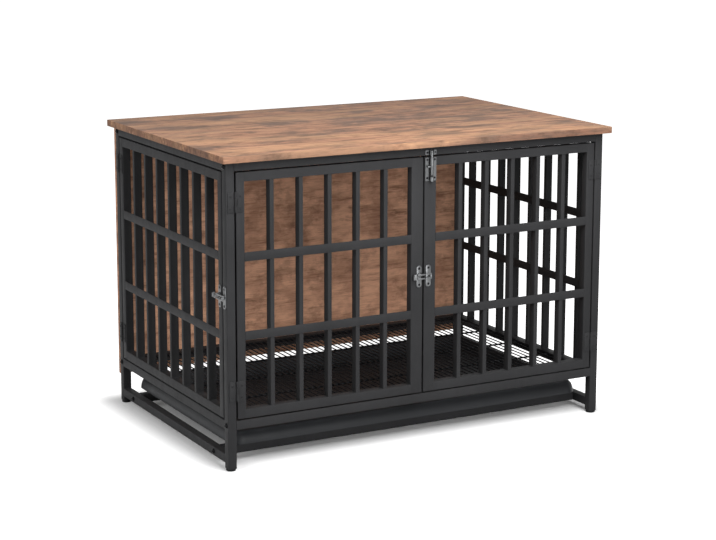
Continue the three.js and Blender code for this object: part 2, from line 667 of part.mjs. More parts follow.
// The catch plate: its hook holds the loop's far end, from the cut to the bend round the hook.
function latchCatch() {
  const bars = LOOP_SIDES.map((zs) =>
    block([LOOP_PARTING + LOOP_PARTING_GAP / 2, CATCH_REACH], LOOP_YS, zs),
  );
  const bend = [CATCH_REACH - LOOP_BAR_THICKNESS / 2, CATCH_REACH + LOOP_BAR_THICKNESS / 2];
  const hook = block(
    [bend[0] - CATCH_HOOK_WIDTH, bend[0] + LOOP_BAR_THICKNESS / 4],
    [-CATCH_HOOK_STANDOFF, -LATCH_PLATE_THICKNESS / 2],
    [-CATCH_HOOK_HEIGHT / 2, CATCH_HOOK_HEIGHT / 2],
  );
  const farEnd = block(bend, LOOP_YS, [-LOOP_HEIGHT / 2, LOOP_HEIGHT / 2]);
  return weld([latchPlate(LATCH_SPREAD), ...bars, farEnd, hook]);
}

function addLatch(name, pinPlace) {
  const latch = new THREE.Group();
  pinPlace(latch);
  crateTable.add(latch);
  place(latch, `${name}_latch_plate`, latchBase(), "zinc");
  place(latch, `${name}_latch_lever`, latchLever(), "zinc");
  place(latch, `${name}_latch_loop`, latchLoop(), "zinc");
  place(latch, `${name}_latch_catch`, latchCatch(), "zinc");
}

function addLatches() {
  addLatch("front", (group) => group.position.set(0, FRONT, LATCH_HEIGHT));
  addLatch("side", (group) => {
    group.position.set(LEFT, INNER_FRONT + DOOR_GAP / 2, LATCH_HEIGHT);
    group.rotation.z = -Math.PI / 2;
  });
}

// ---------- Top bolt ----------
const BOLT_X = DOOR_GAP / 2 + BOLT_FROM_EDGE;
const BOLT_Y = FRONT - BOLT_STANDOFF;
const BASE_TOP = DOOR_TOP - BOLT_BASE_DROP;
const BASE_BOTTOM = BASE_TOP - BOLT_BASE_HEIGHT;
const UPPER_GUIDE_BOTTOM = BASE_TOP - BOLT_UPPER_GUIDE;

// A flat plate on the face of the door or rail, with holes at its four corners or its two ends.
function boltPlate([z0, z1], holeHeights) {
  const half = BOLT_BASE_WIDTH / 2;
  const shape = roundedRectangle([BOLT_X - half, BOLT_X + half], [z0, z1], BOLT_PLATE);
  for (const z of holeHeights)
    for (const x of [BOLT_X - BOLT_HOLE_SPREAD / 2, BOLT_X + BOLT_HOLE_SPREAD / 2])
      shape.holes.push(circle(x, z, BOLT_HOLE));
  return extrude(shape, "-y", FRONT - BOLT_PLATE, FRONT, 3);
}

// A saddle over the rod: an arch with straight legs down to the plate.
function boltSaddle(from, to) {
  const r = BOLT_ROD / 2 + RUNNING_CLEARANCE + BOLT_GUIDE_WALL;
  const shape = new THREE.Shape();
  shape.moveTo(BOLT_X + r, FRONT - BOLT_PLATE / 2);
  shape.lineTo(BOLT_X - r, FRONT - BOLT_PLATE / 2);
  shape.absarc(BOLT_X, BOLT_Y, r, Math.PI, 2 * Math.PI);
  shape.closePath();
  return extrude(shape, "z", from, to, 5);
}

function boltBase() {
  const holes = [BASE_BOTTOM + BOLT_HOLE_INSET + BOLT_HOLE / 2, BASE_TOP - BOLT_HOLE_INSET];
  const pieces = [
    boltPlate([BASE_BOTTOM, BASE_TOP], holes),
    boltSaddle(UPPER_GUIDE_BOTTOM, BASE_TOP),
    boltSaddle(BASE_BOTTOM, BASE_BOTTOM + BOLT_LOWER_GUIDE),
  ];
  const bore = BOLT_ROD + 2 * RUNNING_CLEARANCE;
  const ends = [BASE_BOTTOM - CUT_OVERRUN, BASE_TOP + CUT_OVERRUN];
  return weld(pieces, [cylinder("z", BOLT_X, BOLT_Y, bore, ...ends)]);
}

function boltRod() {
  const top = TOP_RAIL_HEIGHT + BOLT_ENTRY;
  const handleZ = UPPER_GUIDE_BOTTOM - RUNNING_CLEARANCE - BOLT_HANDLE / 2;
  return weld([
    cylinder("z", BOLT_X, BOLT_Y, BOLT_ROD, top - BOLT_ROD_LENGTH, top),
    cylinder("x", BOLT_Y, handleZ, BOLT_HANDLE, BOLT_X - BOLT_HANDLE_LENGTH, BOLT_X),
  ]);
}

// The keeper on the top rail: two ears either side of the rod, open towards the front.
function boltKeeper() {
  const z0 = TOP_RAIL_HEIGHT + (BOLT_ENTRY - KEEPER_HEIGHT) / 2 + KEEPER_LIFT;
  const zs = [z0, z0 + KEEPER_HEIGHT];
  const gap = BOLT_ROD / 2 + LOOSE_CLEARANCE;
  const ys = [BOLT_Y - BOLT_ROD / 2, FRONT - BOLT_PLATE / 2];
  const ears = [-gap - BOLT_GUIDE_WALL, gap].map((x) =>
    block([BOLT_X + x, BOLT_X + x + BOLT_GUIDE_WALL], ys, zs),
  );
  return weld([boltPlate(zs, [(zs[0] + zs[1]) / 2]), ...ears]);
}

function addTopBolt() {
  place(crateTable, "top_bolt_base", boltBase(), "zinc");
  place(crateTable, "top_bolt_rod", boltRod(), "zinc");
  place(crateTable, "top_bolt_keeper", boltKeeper(), "zinc");
}

addBoards();
addFrame();
addFeetAndFrameBolts();
place(crateTable, "right_side_grille", fixedGrille(), "black_steel");
place(crateTable, "wire_floor", wireFloor(), "black_wire");
place(crateTable, "tray", tray(), "black_tray");
addDoors();
addLatches();
addTopBolt();

export default crateTable;
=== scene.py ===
"""Dog crate end table: the looks of its boards, steel frame, doors, wire floor and hardware.

Every new piece is a surface worked out with numpy: a section carried along an axis or a path, ring
by ring. Lengths in the functions are millimetres in the part's own frame, and the meshes are in
metres.
"""

import json
import math

import bpy
import numpy as np
from mathutils import Matrix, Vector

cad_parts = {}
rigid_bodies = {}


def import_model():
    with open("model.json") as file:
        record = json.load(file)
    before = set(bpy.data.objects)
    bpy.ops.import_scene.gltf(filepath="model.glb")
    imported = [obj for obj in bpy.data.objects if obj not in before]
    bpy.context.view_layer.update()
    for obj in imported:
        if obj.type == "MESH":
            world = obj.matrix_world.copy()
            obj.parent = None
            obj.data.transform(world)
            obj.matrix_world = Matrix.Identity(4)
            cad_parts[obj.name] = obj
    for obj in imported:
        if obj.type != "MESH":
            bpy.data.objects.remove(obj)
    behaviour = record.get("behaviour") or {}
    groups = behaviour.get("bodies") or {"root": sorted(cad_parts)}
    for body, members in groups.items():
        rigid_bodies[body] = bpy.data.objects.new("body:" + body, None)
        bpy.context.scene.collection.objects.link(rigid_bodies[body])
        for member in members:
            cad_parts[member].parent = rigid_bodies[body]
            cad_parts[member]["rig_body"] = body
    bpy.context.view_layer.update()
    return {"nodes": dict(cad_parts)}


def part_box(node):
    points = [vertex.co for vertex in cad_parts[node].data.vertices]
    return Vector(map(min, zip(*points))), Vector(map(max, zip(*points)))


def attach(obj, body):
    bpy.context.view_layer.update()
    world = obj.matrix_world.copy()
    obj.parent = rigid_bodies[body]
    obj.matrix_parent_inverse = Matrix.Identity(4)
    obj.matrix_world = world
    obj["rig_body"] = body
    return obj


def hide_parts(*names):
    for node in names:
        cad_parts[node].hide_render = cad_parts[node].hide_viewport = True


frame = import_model()

bl_info = {
    "name": "Dog crate end table",
    "version": (1, 0, 0),
    "blender": (4, 5, 0),
    "location": "3D View > Sidebar > Dog crate",
    "description": "Builds the visible pieces of a steel dog crate with a wood-look table top",
    "category": "Add Mesh",
}

FULL_TURN = 2 * math.pi
IMAGE_WIDTH = 716  # the width in pixels that the camera's focal length and shift are given for
SENSOR = 36  # the sensor's width in millimetres

# Directions of a drawing: along a face away from the hinges, and inwards.
FACING = {
    "left": ((1, 0, 0), (0, 1, 0)),
    "right": ((-1, 0, 0), (0, 1, 0)),
    "side": ((0, -1, 0), (1, 0, 0)),
}

# ---------- Lengths in millimetres that the CAD's boxes do not give ----------
TOP_CORNER, PANEL_CORNER = 4.0, 1.0
TUBE_END = 0.5  # rounding of the tubes' ends
BEAD_END, BAR_BEAD_END = 0.6, 0.4  # rounding of the weld beads' ends
BAR_BEAD = 1.6  # diameter of the beads at a bar's ends
BAR_BEAD_INSET = 1.5  # from a bar's faces to the ends of its beads
BAR_SETBACK = 1.0  # the doors' faces to the fronts of their bars
BAR_WELD, STRIP_WELD = 1.0, 0.2  # how far they run into what they are welded to
STRIP_CORNER = 0.5
FRONT_DOOR_BARS, SIDE_DOOR_BARS, GRILLE_BARS = 5, 7, 8
GRILLE_PITCH = 69.7
GRILLE_STRIPS = (298.0, 469.5)  # undersides of the two strips
FLOOR_BORDER, BORDER_CORNER, BORDER_LAP = 5.0, 1.2, 1.0
WIRE_PITCH, CROSS_PITCH = 15.3, 138.3
WIRE_DROP, WIRE_WELD = 0.4, 0.5  # border's top to the wires, and wires into cross wires
TRAY_SHEET, TRAY_CORNER, TRAY_LEAST_CORNER = 2.0, 30.0, 2.0
TRAY_EDGE, TRAY_RISE, TRAY_LEAN = 9.0, 28.0, 18.0  # the skirt's start, height and lean
TRAY_CREST, TRAY_SLOPE = 3.0, 5.0  # the rim's width and the lean of the pan's wall
FOOT_TREAD, FOOT_SHOULDER, FOOT_CHAMFER, FOOT_RIM = 0.2, 1.8, 0.6, 0.5
WASHER = ((6.4, 0.0), (6.5, 0.15), (6.5, 0.65), (6.3, 0.8))  # radius and height of each ring
BOLT_HEAD, BOLT_LIFT = 11.0, 0.7
KNUCKLE, HINGE_PIN, PIN_END = 5.0, 3.2, 1.2
LEAF_FACE, LEAF_CORNER, LEAF_EDGE = 0.9, 2.2, 0.35
LEAF_SPAN = (2.9, 18.4)  # from the pin to the leaf's two sides
LEAF_SCREW, LEAF_SCREW_END = 11.4, 9.5  # a screw from the pin and from the leaf's ends
PLATE_AT, PLATE_GAP = 12.0, 5.5  # a latch plate's middle and side from the door gap's middle
PLATE_WIDTH, PLATE_HEIGHT, PLATE_DEPTH = 13, 50, 2
RIVET, RIVET_AT = 7.4, 18.7
EAR, EAR_REACH = (6.9, 8.3), 2.0  # the ears' faces, and how far they go past the lever's pin
LEVER_PIN, LOOP_PIN, PIN = (-12.0, -4.5), (-17.0, -7.2), 2.0
EYE, EYE_HALF = (1.3, 2.2), 2.2  # radii of a rolled eye, and half its height
LEVER_NECK, LEVER_TAB, NECK_END = 4.4, 13.0, -21.0
LOOP_LEG, LOOP_DEPTH, LOOP_ROUND = (2.5, 6.5), (-8.5, -5.9), 1.25
BOLT_PLATE, BOLT_SCREW_AT = 1.6, 9.7
ROD_AT, ROD, HANDLE = 5.2, 6.0, 4.4  # the rod's middle from the door's face, and diameters
SADDLE_LOWER, SADDLE_UPPER = 10.0, 18.0  # heights of the two guides
KEEPER_EARS, KEEPER_EAR = (-5.0, 3.4), 1.6


# ---------- Sizes, colours and studio values a user would change ----------
def number(name, value, description, **settings):
    return bpy.props.FloatProperty(name=name, default=value, description=description, **settings)


def length(name, millimetres, description):
    kind = {"unit": "LENGTH", "subtype": "DISTANCE"}
    return number(name, millimetres / 1000, description, min=0.0, precision=4, **kind)


def linear(hex_colour):
    """A #rrggbb colour in sRGB as linear red, green and blue."""
    srgb = [int(hex_colour[i : i + 2], 16) / 255 for i in (1, 3, 5)]
    return tuple(c / 12.92 if c <= 0.04045 else ((c + 0.055) / 1.055) ** 2.4 for c in srgb)


def colour(name, hex_colour, description):
    return bpy.props.FloatVectorProperty(
        name=name,
        default=linear(hex_colour),
        size=3,
        min=0.0,
        max=1.0,
        subtype="COLOR",
        description=description,
    )


class CRATE_PG_sizes(bpy.types.PropertyGroup):
    tube: length("Tube", 20, "Side of the square tube of posts, rails and door frames")
    tube_corner: length("Tube corner", 1.6, "Rounding of the tube's long edges")
    rail_corner: length("Rail corner", 0.5, "Rounding of the long edges of the level rails")
    latch_stile: length("Latch stile", 30, "Width of the stile where the front doors meet")
    bar: length("Bar", 10, "Width of the upright bars")
    bar_corner: length("Bar corner", 1.2, "Rounding of a bar's long edges")
    strip_height: length("Strip height", 20, "Height of the flat cross strips")
    strip_thickness: length("Strip thickness", 2, "Thickness of the flat cross strips")
    weld_bead: length("Weld bead", 1.3, "Radius of the fillet weld in an inside corner")
    board_edge: length("Board edge", 1, "Rounding of the board's upper and lower edges")
    floor_wire: length("Floor wire", 3, "Diameter of the long wires of the floor")
    cross_wire: length("Cross wire", 4.5, "Diameter of the cross wires of the floor")
    screw_head: length("Screw head", 5.6, "Diameter of the small screw heads")
    hinge_screw: length("Hinge screw", 5.8, "Diameter of the hinges' screw heads")


class CRATE_PG_colours(bpy.types.PropertyGroup):
    board: colour("Board", "#9d745c", "Middle tone of the printed oak on the top")
    board_dark: colour("Board, dark", "#5d4b41", "Grey-brown patches and grain")
    board_light: colour("Board, light", "#b98f6d", "Worn, sunlit streaks")
    edge: colour("Edge band", "#82604e", "Middle tone of the edge band")
    panel: colour("Back panel", "#c7977a", "Middle tone of the back panel's print")
    panel_dark: colour("Back panel, dark", "#7f5a47", "Dark patches of the back panel's print")
    steel: colour("Powder coat", "#2d2d2e", "Black powder coat of the frame and doors")
    wire: colour("Wire coat", "#17181a", "Black coat of the wire floor")
    tray: colour("Tray", "#28292b", "Black plastic of the tray")
    foot: colour("Foot", "#141415", "Black plastic of the foot glides")
    bolt: colour("Bolt", "#161617", "Blackened steel of the frame bolts")
    screw: colour("Screw", "#1b1b1d", "Blackened steel of the small screws")
    zinc: colour("Zinc", "#5e5f60", "Zinc plate of the latches and the bolt")
    floor: colour("Studio floor", "#f4f4f4", "Pale floor under the crate")


class CRATE_PG_studio(bpy.types.PropertyGroup):
    azimuth: number(
        "Camera azimuth",
        math.radians(-28.5453),
        "Direction of the camera round the crate, 0 in front",
        subtype="ANGLE",
    )
    elevation: number(
        "Camera elevation",
        math.radians(10.3969),
        "Height of the camera's line of sight above the level",
        subtype="ANGLE",
    )
    roll: number(
        "Camera roll", -0.00164, "Turn of the camera about its line of sight", subtype="ANGLE"
    )
    position: bpy.props.FloatVectorProperty(
        name="Camera position",
        default=(-2.1410, -3.9434, 1.3091),
        size=3,
        subtype="TRANSLATION",
        description="Place of the camera",
    )
    focal: number(
        "Focal length", 1910.79 / IMAGE_WIDTH * SENSOR, "Focal length in millimetres", min=1.0
    )
    rise: number(
        "Vertical shift", -60 / IMAGE_WIDTH, "Lens shift that keeps the posts upright, in widths"
    )
    overhead: number("Overhead light", 10.0, "Power of the softbox above", min=0.0)
    left: number("Left light", 50.0, "Power of the softbox on the left", min=0.0)
    front: number("Front light", 38.0, "Power of the softbox in front", min=0.0)
    inside: number(
        "Low front light", 100.0, "Power of the softbox that reaches the back panel", min=0.0
    )
    ambient: number("Ambient light", 0.12, "Strength of the room's own light", min=0.0)


# ---------- Surfaces ----------
def span(part):
    """The lowest and the highest corner of a CAD node, in millimetres."""
    low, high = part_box(part)
    return np.array(low) * 1000, np.array(high) * 1000


def rounded(u, v, radius, steps=4):
    """The outline of a rectangle with round corners, anticlockwise: each corner's centre plus the
    radius times (cos t, sin t), with t over that corner's quarter turn."""
    radius = max(radius, 1e-3)
    centres = np.array(
        [
            [u[1] - radius, v[1] - radius],
            [u[0] + radius, v[1] - radius],
            [u[0] + radius, v[0] + radius],
            [u[1] - radius, v[0] + radius],
        ]
    )
    t = (np.arange(4)[:, None] + np.linspace(0, 1, steps + 1)) * math.pi / 2
    arc = radius * np.stack([np.cos(t), np.sin(t)], -1)
    return (centres[:, None] + arc).reshape(-1, 2)


def disc(u, v, radius, steps=24):
    """A circle of the given radius, anticlockwise. The radius may differ from step to step."""
    t = np.arange(steps) / steps * FULL_TURN
    return np.stack([u + radius * np.cos(t), v + radius * np.sin(t)], -1)


def carry(axis, sections, stations):
    """Sections drawn across an axis, each put at its own station along it: "x" draws in (y, z), "y"
    draws in (z, x) and "z" draws in (x, y)."""
    u, v, w = {"x": (1, 2, 0), "y": (2, 0, 1), "z": (0, 1, 2)}[axis]
    stations = np.asarray(stations, float)
    sections = np.broadcast_to(sections, (len(stations), *np.asarray(sections).shape[-2:]))
    rings = np.empty((*sections.shape[:2], 3))
    rings[..., u] = sections[..., 0]
    rings[..., v] = sections[..., 1]
    rings[..., w] = stations[:, None]
    return rings


def eased(radius, steps=3):
    """A rounded end: how far the outline draws in, and how far the ring stands back from the end,
    radius (1 - cos t) and radius (1 - sin t), with t from nothing to a quarter turn."""
    t = np.linspace(0, math.pi / 2, steps + 1)
    return radius * (1 - np.cos(t)), radius * (1 - np.sin(t))


class Surface:
    """One piece's mesh, gathered from closed skins. The placing takes the drawing's own
    (along, in, up) to the part's frame, so that one drawing serves all three doors."""

    def __init__(self, origin=(0, 0, 0), along=(1, 0, 0), inward=(0, 1, 0)):
        self.axes = np.array([along, inward, (0, 0, 1)], float)
        self.origin = np.array(origin, float)
        self.flipped = np.linalg.det(self.axes) < 0
        self.points, self.faces, self.finishes = [], [], []
        self.count = 0

    def skin(self, rings, finish=0, joined=False):
        """Quads between neighbouring rings, and a flat cap on the first and on the last, or, when
        the rings are joined, quads from the last back to the first."""
        rings = np.asarray(rings, float)
        rows, columns = rings.shape[:2]
        r = np.arange(rows if joined else rows - 1)[:, None]
        c = np.arange(columns)[None, :]
        next_r, next_c = (r + 1) % rows, (c + 1) % columns
        corners = [
            r * columns + c,
            r * columns + next_c,
            next_r * columns + next_c,
            next_r * columns + c,
        ]
        quads = np.stack([np.broadcast_to(k, corners[0].shape) for k in corners], -1)
        faces = (quads.reshape(-1, 4) + self.count).tolist()
        if not joined:
            ring = np.arange(columns) + self.count
            faces += [ring[::-1].tolist(), (ring + (rows - 1) * columns).tolist()]
        self.faces += faces
        self.finishes += [finish] * len(faces)
        self.points.append(rings.reshape(-1, 3))
        self.count += rows * columns

    def between(self, axis, ends, section, finish=0, ease=0.0, rim=3):
        """A section carried from one end to the other, with both ends rounded over by the ease.
        section(d) is the outline drawn in by d."""
        drawn, back = eased(ease, rim if ease else 0)
        inner = [section(d) for d in drawn]
        stations = [*(ends[0] + back[::-1]), *(ends[1] - back)]
        self.skin(carry(axis, np.array(inner[::-1] + inner), stations), finish)

    def tube(self, axis, xs, ys, zs, corner, steps=4, finish=0, ease=0.0, rim=3):
        """A rounded rectangle carried along an axis from one end of its box to the other."""
        u, v, w = {"x": (ys, zs, xs), "y": (zs, xs, ys), "z": (xs, ys, zs)}[axis]

        def section(d):
            radius = max(corner - d, 0.1)
            return rounded((u[0] + d, u[1] - d), (v[0] + d, v[1] - d), radius, steps)

        self.between(axis, w, section, finish, ease, rim)

    def rod(self, axis, u, v, diameter, ends, steps=16, ease=0.0, finish=0):
        """A circle carried along an axis."""
        self.between(
            axis, ends, lambda d: disc(u, v, max(diameter / 2 - d, 0.02), steps), finish, ease
        )

    def plate(self, axis, outline, ends, ease, finish=0):
        """A flat outline given a thickness. It draws in towards its own normals."""
        self.between(axis, ends, lambda d: drawn_in(outline, d), finish, ease, rim=2)

    def made(self, part, kind, b, *finishes, crease=35.0):
        """The finished object: in place of its CAD node, on that node's body, with its slot."""
        name = f"{part}_{kind}"
        points = np.concatenate(self.points) @ self.axes + self.origin
        faces = [f[::-1] for f in self.faces] if self.flipped else self.faces
        mesh = bpy.data.meshes.new(name)
        mesh.from_pydata((points / 1000).tolist(), [], faces)
        for finish in finishes:
            mesh.materials.append(b.finish[finish])
        mesh.polygons.foreach_set("material_index", np.array(self.finishes, np.int32))
        mesh.shade_smooth()
        mesh.set_sharp_from_angle(angle=math.radians(crease))
        mesh.validate()
        mesh.update()
        piece = bpy.data.objects.new(name, mesh)
        bpy.context.scene.collection.objects.link(piece)
        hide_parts(part)
        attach(piece, frame["nodes"][part]["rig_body"])
        return piece


def drawn_in(outline, distance):
    """An outline moved inwards: each point goes against the mean of its two edges' normals."""
    ahead = np.roll(outline, -1, 0) - outline
    ahead /= np.maximum(np.linalg.norm(ahead, axis=1, keepdims=True), 1e-9)
    mean = ahead + np.roll(ahead, 1, 0)
    mean /= np.maximum(np.linalg.norm(mean, axis=1, keepdims=True), 1e-9)
    normal = np.stack([mean[:, 1], -mean[:, 0]], -1)
    return outline - normal * distance


def swept(path, width, thickness, steps=3):
    """A rounded strip carried along a bent path in (along, in): at each point of the path, the
    strip's section stands square to the path, its width upright."""
    path = np.asarray(path, float)
    ahead = np.gradient(path, axis=0)
    ahead /= np.linalg.norm(ahead, axis=1, keepdims=True)
    side = np.stack([ahead[:, 1], -ahead[:, 0]], -1)
    widths = np.broadcast_to(width, len(path))
    rings = []
    for point, out, full in zip(path, side, widths):
        half = thickness / 2
        section = rounded((-half, half), (-full / 2, full / 2), half * 0.8, steps)
        ring = np.empty((len(section), 3))
        ring[:, :2] = point + section[:, :1] * out
        ring[:, 2] = section[:, 1]
        rings.append(ring)
    return np.array(rings)


def smooth_path(points, steps=24):
    """A curve through a few points: a polynomial of the points' count less one in each direction,
    over the distance run along them."""
    points = np.asarray(points, float)
    run = np.r_[0, np.cumsum(np.linalg.norm(np.diff(points, axis=0), axis=1))]
    s = np.linspace(0, run[-1], steps)
    degree = len(points) - 1
    return np.stack([np.polyval(np.polyfit(run, points[:, k], degree), s) for k in (0, 1)], -1)


def cross_recess(long, narrow, steps=48):
    """The radius of a cross-shaped recess in every direction: the arm's end at long over cos t, or
    its side at narrow over sin t, whichever is nearer, with t counted from the nearest arm."""
    t = np.arange(steps) / steps * FULL_TURN
    t = np.abs((t + math.pi / 4) % (math.pi / 2) - math.pi / 4)
    return np.minimum(long / np.cos(t), narrow / np.maximum(np.sin(t), 1e-6))


def hexagon(across, steps=48):
    """The radius of a hexagon in every direction: half its flats over cos t, with t counted from
    the middle of the nearest side."""
    t = np.arange(steps) / steps * FULL_TURN
    t = (t + math.pi / 6) % (math.pi / 3) - math.pi / 6
    return across / 2 / np.cos(t)


def screw_head(surface, axis, u, v, seat, outwards, diameter, height, finish, recess="cross"):
    """A domed head with a recess, seated on a face. The dome's rings have the radii R cos t and the
    heights of a rim and a share of sin t, and the recess goes straight down from its outline."""
    radius, steps = diameter / 2, 48
    start, end, rim = 0.25, 1.1, 0.25
    t = np.linspace(start, end, 4)
    if recess == "cross":
        hole = cross_recess(radius * 0.55, radius * 0.16)
    else:
        hole = hexagon(radius * 0.8)
    radii = [radius, *(radius * np.cos(t) / math.cos(start)), hole, hole * 0.92]
    dome = height * (rim + (1 - rim) * np.sin(t) / math.sin(end))
    heights = np.array([0.0, *dome, height, height * 0.35])
    sections = np.array([disc(u, v, np.broadcast_to(r, steps), steps) for r in radii])
    rings = carry(axis, sections, seat + outwards * heights)
    surface.skin(rings if outwards > 0 else rings[::-1], finish)


# ---------- Materials ----------
def add(tree, kind, inputs=None, stops=(), **settings):
    """Adds a node. An input given as another node's output is linked, and any other is set. Stops
    are the places and colours of a colour ramp."""
    node = tree.nodes.new(kind)
    for key, value in settings.items():
        setattr(node, key, value)
    for key, value in (inputs or {}).items():
        if isinstance(value, bpy.types.NodeSocket):
            tree.links.new(value, node.inputs[key])
        else:
            node.inputs[key].default_value = value
    while stops and len(node.color_ramp.elements) < len(stops):
        node.color_ramp.elements.new(0.5)
    for i, (position, tone) in enumerate(stops):
        node.color_ramp.elements[i].position = position
        node.color_ramp.elements[i].color = rgba(tone)
    return node


def rgba(tone, gain=1.0):
    """A colour, or one grey, as red, green, blue and alpha, made lighter or darker by the gain."""
    tone = (tone,) * 3 if isinstance(tone, float) else tuple(tone)[:3]
    return (*(min(c * gain, 1.0) for c in tone), 1.0)


def finish_of(name, draw):
    """The material of that name, drawn once."""
    material = bpy.data.materials.get(name)
    if material is None:
        material = bpy.data.materials.new(name)
        material.use_nodes = True
        tree = material.node_tree
        tree.nodes.clear()
        shader = add(tree, "ShaderNodeBsdfPrincipled")
        output = add(tree, "ShaderNodeOutputMaterial", {"Surface": shader.outputs["BSDF"]})
        output.is_active_output = True
        draw(tree, shader)
    return material


def patterns(tree, seed, rows):
    """A finish's patterns on Object coordinates, a noise for each row: the size of its features in
    millimetres along X, Y and Z, its detail and its roughness."""
    place = add(tree, "ShaderNodeTexCoord").outputs["Object"]
    drawn = []
    for row, (size, detail, roughness) in enumerate(rows):
        shift = seed + 3.7 * row
        inputs = {
            "Vector": place,
            "Location": (shift, shift * 0.7, shift * 1.3),
            "Scale": tuple(1000 / s for s in size),
        }
        mapped = add(tree, "ShaderNodeMapping", inputs).outputs[0]
        inputs = {"Vector": mapped, "Scale": 1.0, "Detail": detail, "Roughness": roughness}
        drawn.append(add(tree, "ShaderNodeTexNoise", inputs).outputs["Fac"])
    return drawn


def oak_print(middle, dark, light, seed, contrast=1.0, patch=(150, 60, 90)):
    """Melamine board with a printed weathered-oak foil, grain along X: streaks about 9 mm apart,
    patches as wide as a hand where the old boards went grey, worn lighter bands, dark blotches
    round knots, and pores drawn 2.5 mm wide, coarser than real, so that they show. The foil's
    overlay is matt, with a faint pressed grain."""

    def draw(tree, shader):
        patches, bands, streaks, pores, knots = patterns(
            tree,
            seed,
            (
                (patch, 5.0, 0.65),
                ((420, 60, 120), 3.0, 0.55),
                ((130, 9, 16), 6.0, 0.62),
                ((34, 2.5, 3), 3.0, 0.6),
                ((52, 30, 36), 5.0, 0.65),
            ),
        )
        stops = ((0.32, rgba(dark)), (0.46, rgba(middle, 0.88)), (0.56, rgba(middle, 1.08)))
        stops = (*stops, (0.70, rgba(light)))
        tone = add(tree, "ShaderNodeValToRGB", {"Fac": streaks}, stops).outputs["Color"]
        for pattern, stops, over in (
            (patches, ((0.41, 0.75 * contrast), (0.55, 0.0)), rgba(dark, 1.1)),
            (bands, ((0.47, 0.0), (0.62, 0.45 * contrast)), rgba(light)),
        ):
            share = add(tree, "ShaderNodeValToRGB", {"Fac": pattern}, stops).outputs["Color"]
            inputs = {0: share, 6: tone, 7: over}
            tone = add(tree, "ShaderNodeMix", inputs, data_type="RGBA").outputs[2]
        for pattern, ends in ((pores, (0.30, 0.48)), (knots, (0.35, 0.47))):
            tone = darkened(tree, tone, 0.8, pattern, ((ends[0], 0.6), (ends[1], 1.0)))
        shader.inputs["IOR"].default_value = 1.5
        shader.inputs["Specular IOR Level"].default_value = 0.15
        surfaced(tree, shader, tone, streaks, (0.72, 0.58), streaks, 0.25, 0.6)

    return draw


def darkened(tree, tone, share, pattern, stops):
    """A tone multiplied by a pattern's greys, as far as the share says."""
    greys = add(tree, "ShaderNodeValToRGB", {"Fac": pattern}, stops).outputs["Color"]
    inputs = {0: share, 6: tone, 7: greys}
    return add(tree, "ShaderNodeMix", inputs, data_type="RGBA", blend_type="MULTIPLY").outputs[2]


def surfaced(tree, shader, tone, wear, roughness, texture, strength, relief):
    """What every finish ends with: its tone, a sheen that follows one pattern between two values of
    roughness, and a relief in millimetres that follows another."""
    tree.links.new(tone, shader.inputs["Base Color"])
    stops = ((0.3, roughness[0]), (0.7, roughness[1]))
    sheen = add(tree, "ShaderNodeValToRGB", {"Fac": wear}, stops).outputs["Color"]
    tree.links.new(sheen, shader.inputs["Roughness"])
    inputs = {"Height": texture, "Strength": strength, "Distance": relief / 1000}
    bump = add(tree, "ShaderNodeBump", inputs).outputs[0]
    tree.links.new(bump, shader.inputs["Normal"])


def coated(tone, roughness, seed, cloud, texture, dust, level, relief):
    """A coat of one colour over the whole piece, which three patterns break up: slow clouds in its
    tone, a fine texture that stands up as relief, and dust that dulls its sheen."""

    def draw(tree, shader):
        clouds, skin, specks = patterns(
            tree, seed, ((cloud, 3.0, 0.5), (texture, 2.0, 0.5), (dust, 5.0, 0.7))
        )
        stops = ((0.3, rgba(tone, 0.88)), (0.7, rgba(tone, 1.12)))
        base = add(tree, "ShaderNodeValToRGB", {"Fac": clouds}, stops).outputs["Color"]
        base = darkened(tree, base, 0.7, specks, ((0.35, 0.9), (0.7, 1.0)))
        shader.inputs["Specular IOR Level"].default_value = level
        sheen = (roughness + 0.06, roughness - 0.05)
        surfaced(tree, shader, base, specks, sheen, skin, 0.18, relief)

    return draw


def powder_coat(tone, roughness, seed):
    """Mild steel under a matt black powder coat: an orange peel of about 1.5 mm, drawn 2 mm so that
    it shows, cloudy sheen where the coat is thinner, and no bare metal."""
    return coated(tone, roughness, seed, (140,) * 3, (2,) * 3, (14, 14, 30), 0.06, 0.3)


def moulded_plastic(tone, roughness, seed):
    """Vacuum-formed or moulded black plastic: a fine leather-like grain drawn 1.2 mm wide, and a
    soft sheen that varies slowly where the sheet cooled unevenly."""
    return coated(tone, roughness, seed, (180, 180, 60), (1.2,) * 3, (60, 60, 20), 0.12, 0.2)


def plated_metal(tone, roughness, seed):
    """Stamped sheet steel with electroplated zinc: metal with a slow milky clouding, fine drawing
    lines along Z about 0.8 mm apart, and dull fingerprints in the sheen."""

    def draw(tree, shader):
        clouds, lines = patterns(tree, seed, (((9, 9, 9), 4.0, 0.6), ((0.8, 0.8, 14), 2.0, 0.5)))
        stops = ((0.3, rgba(tone, 0.8)), (0.7, rgba(tone, 1.12)))
        base = add(tree, "ShaderNodeValToRGB", {"Fac": clouds}, stops).outputs["Color"]
        shader.inputs["Metallic"].default_value = 1.0
        sheen = (roughness + 0.1, roughness - 0.06)
        surfaced(tree, shader, base, clouds, sheen, lines, 0.12, 0.2)

    return draw


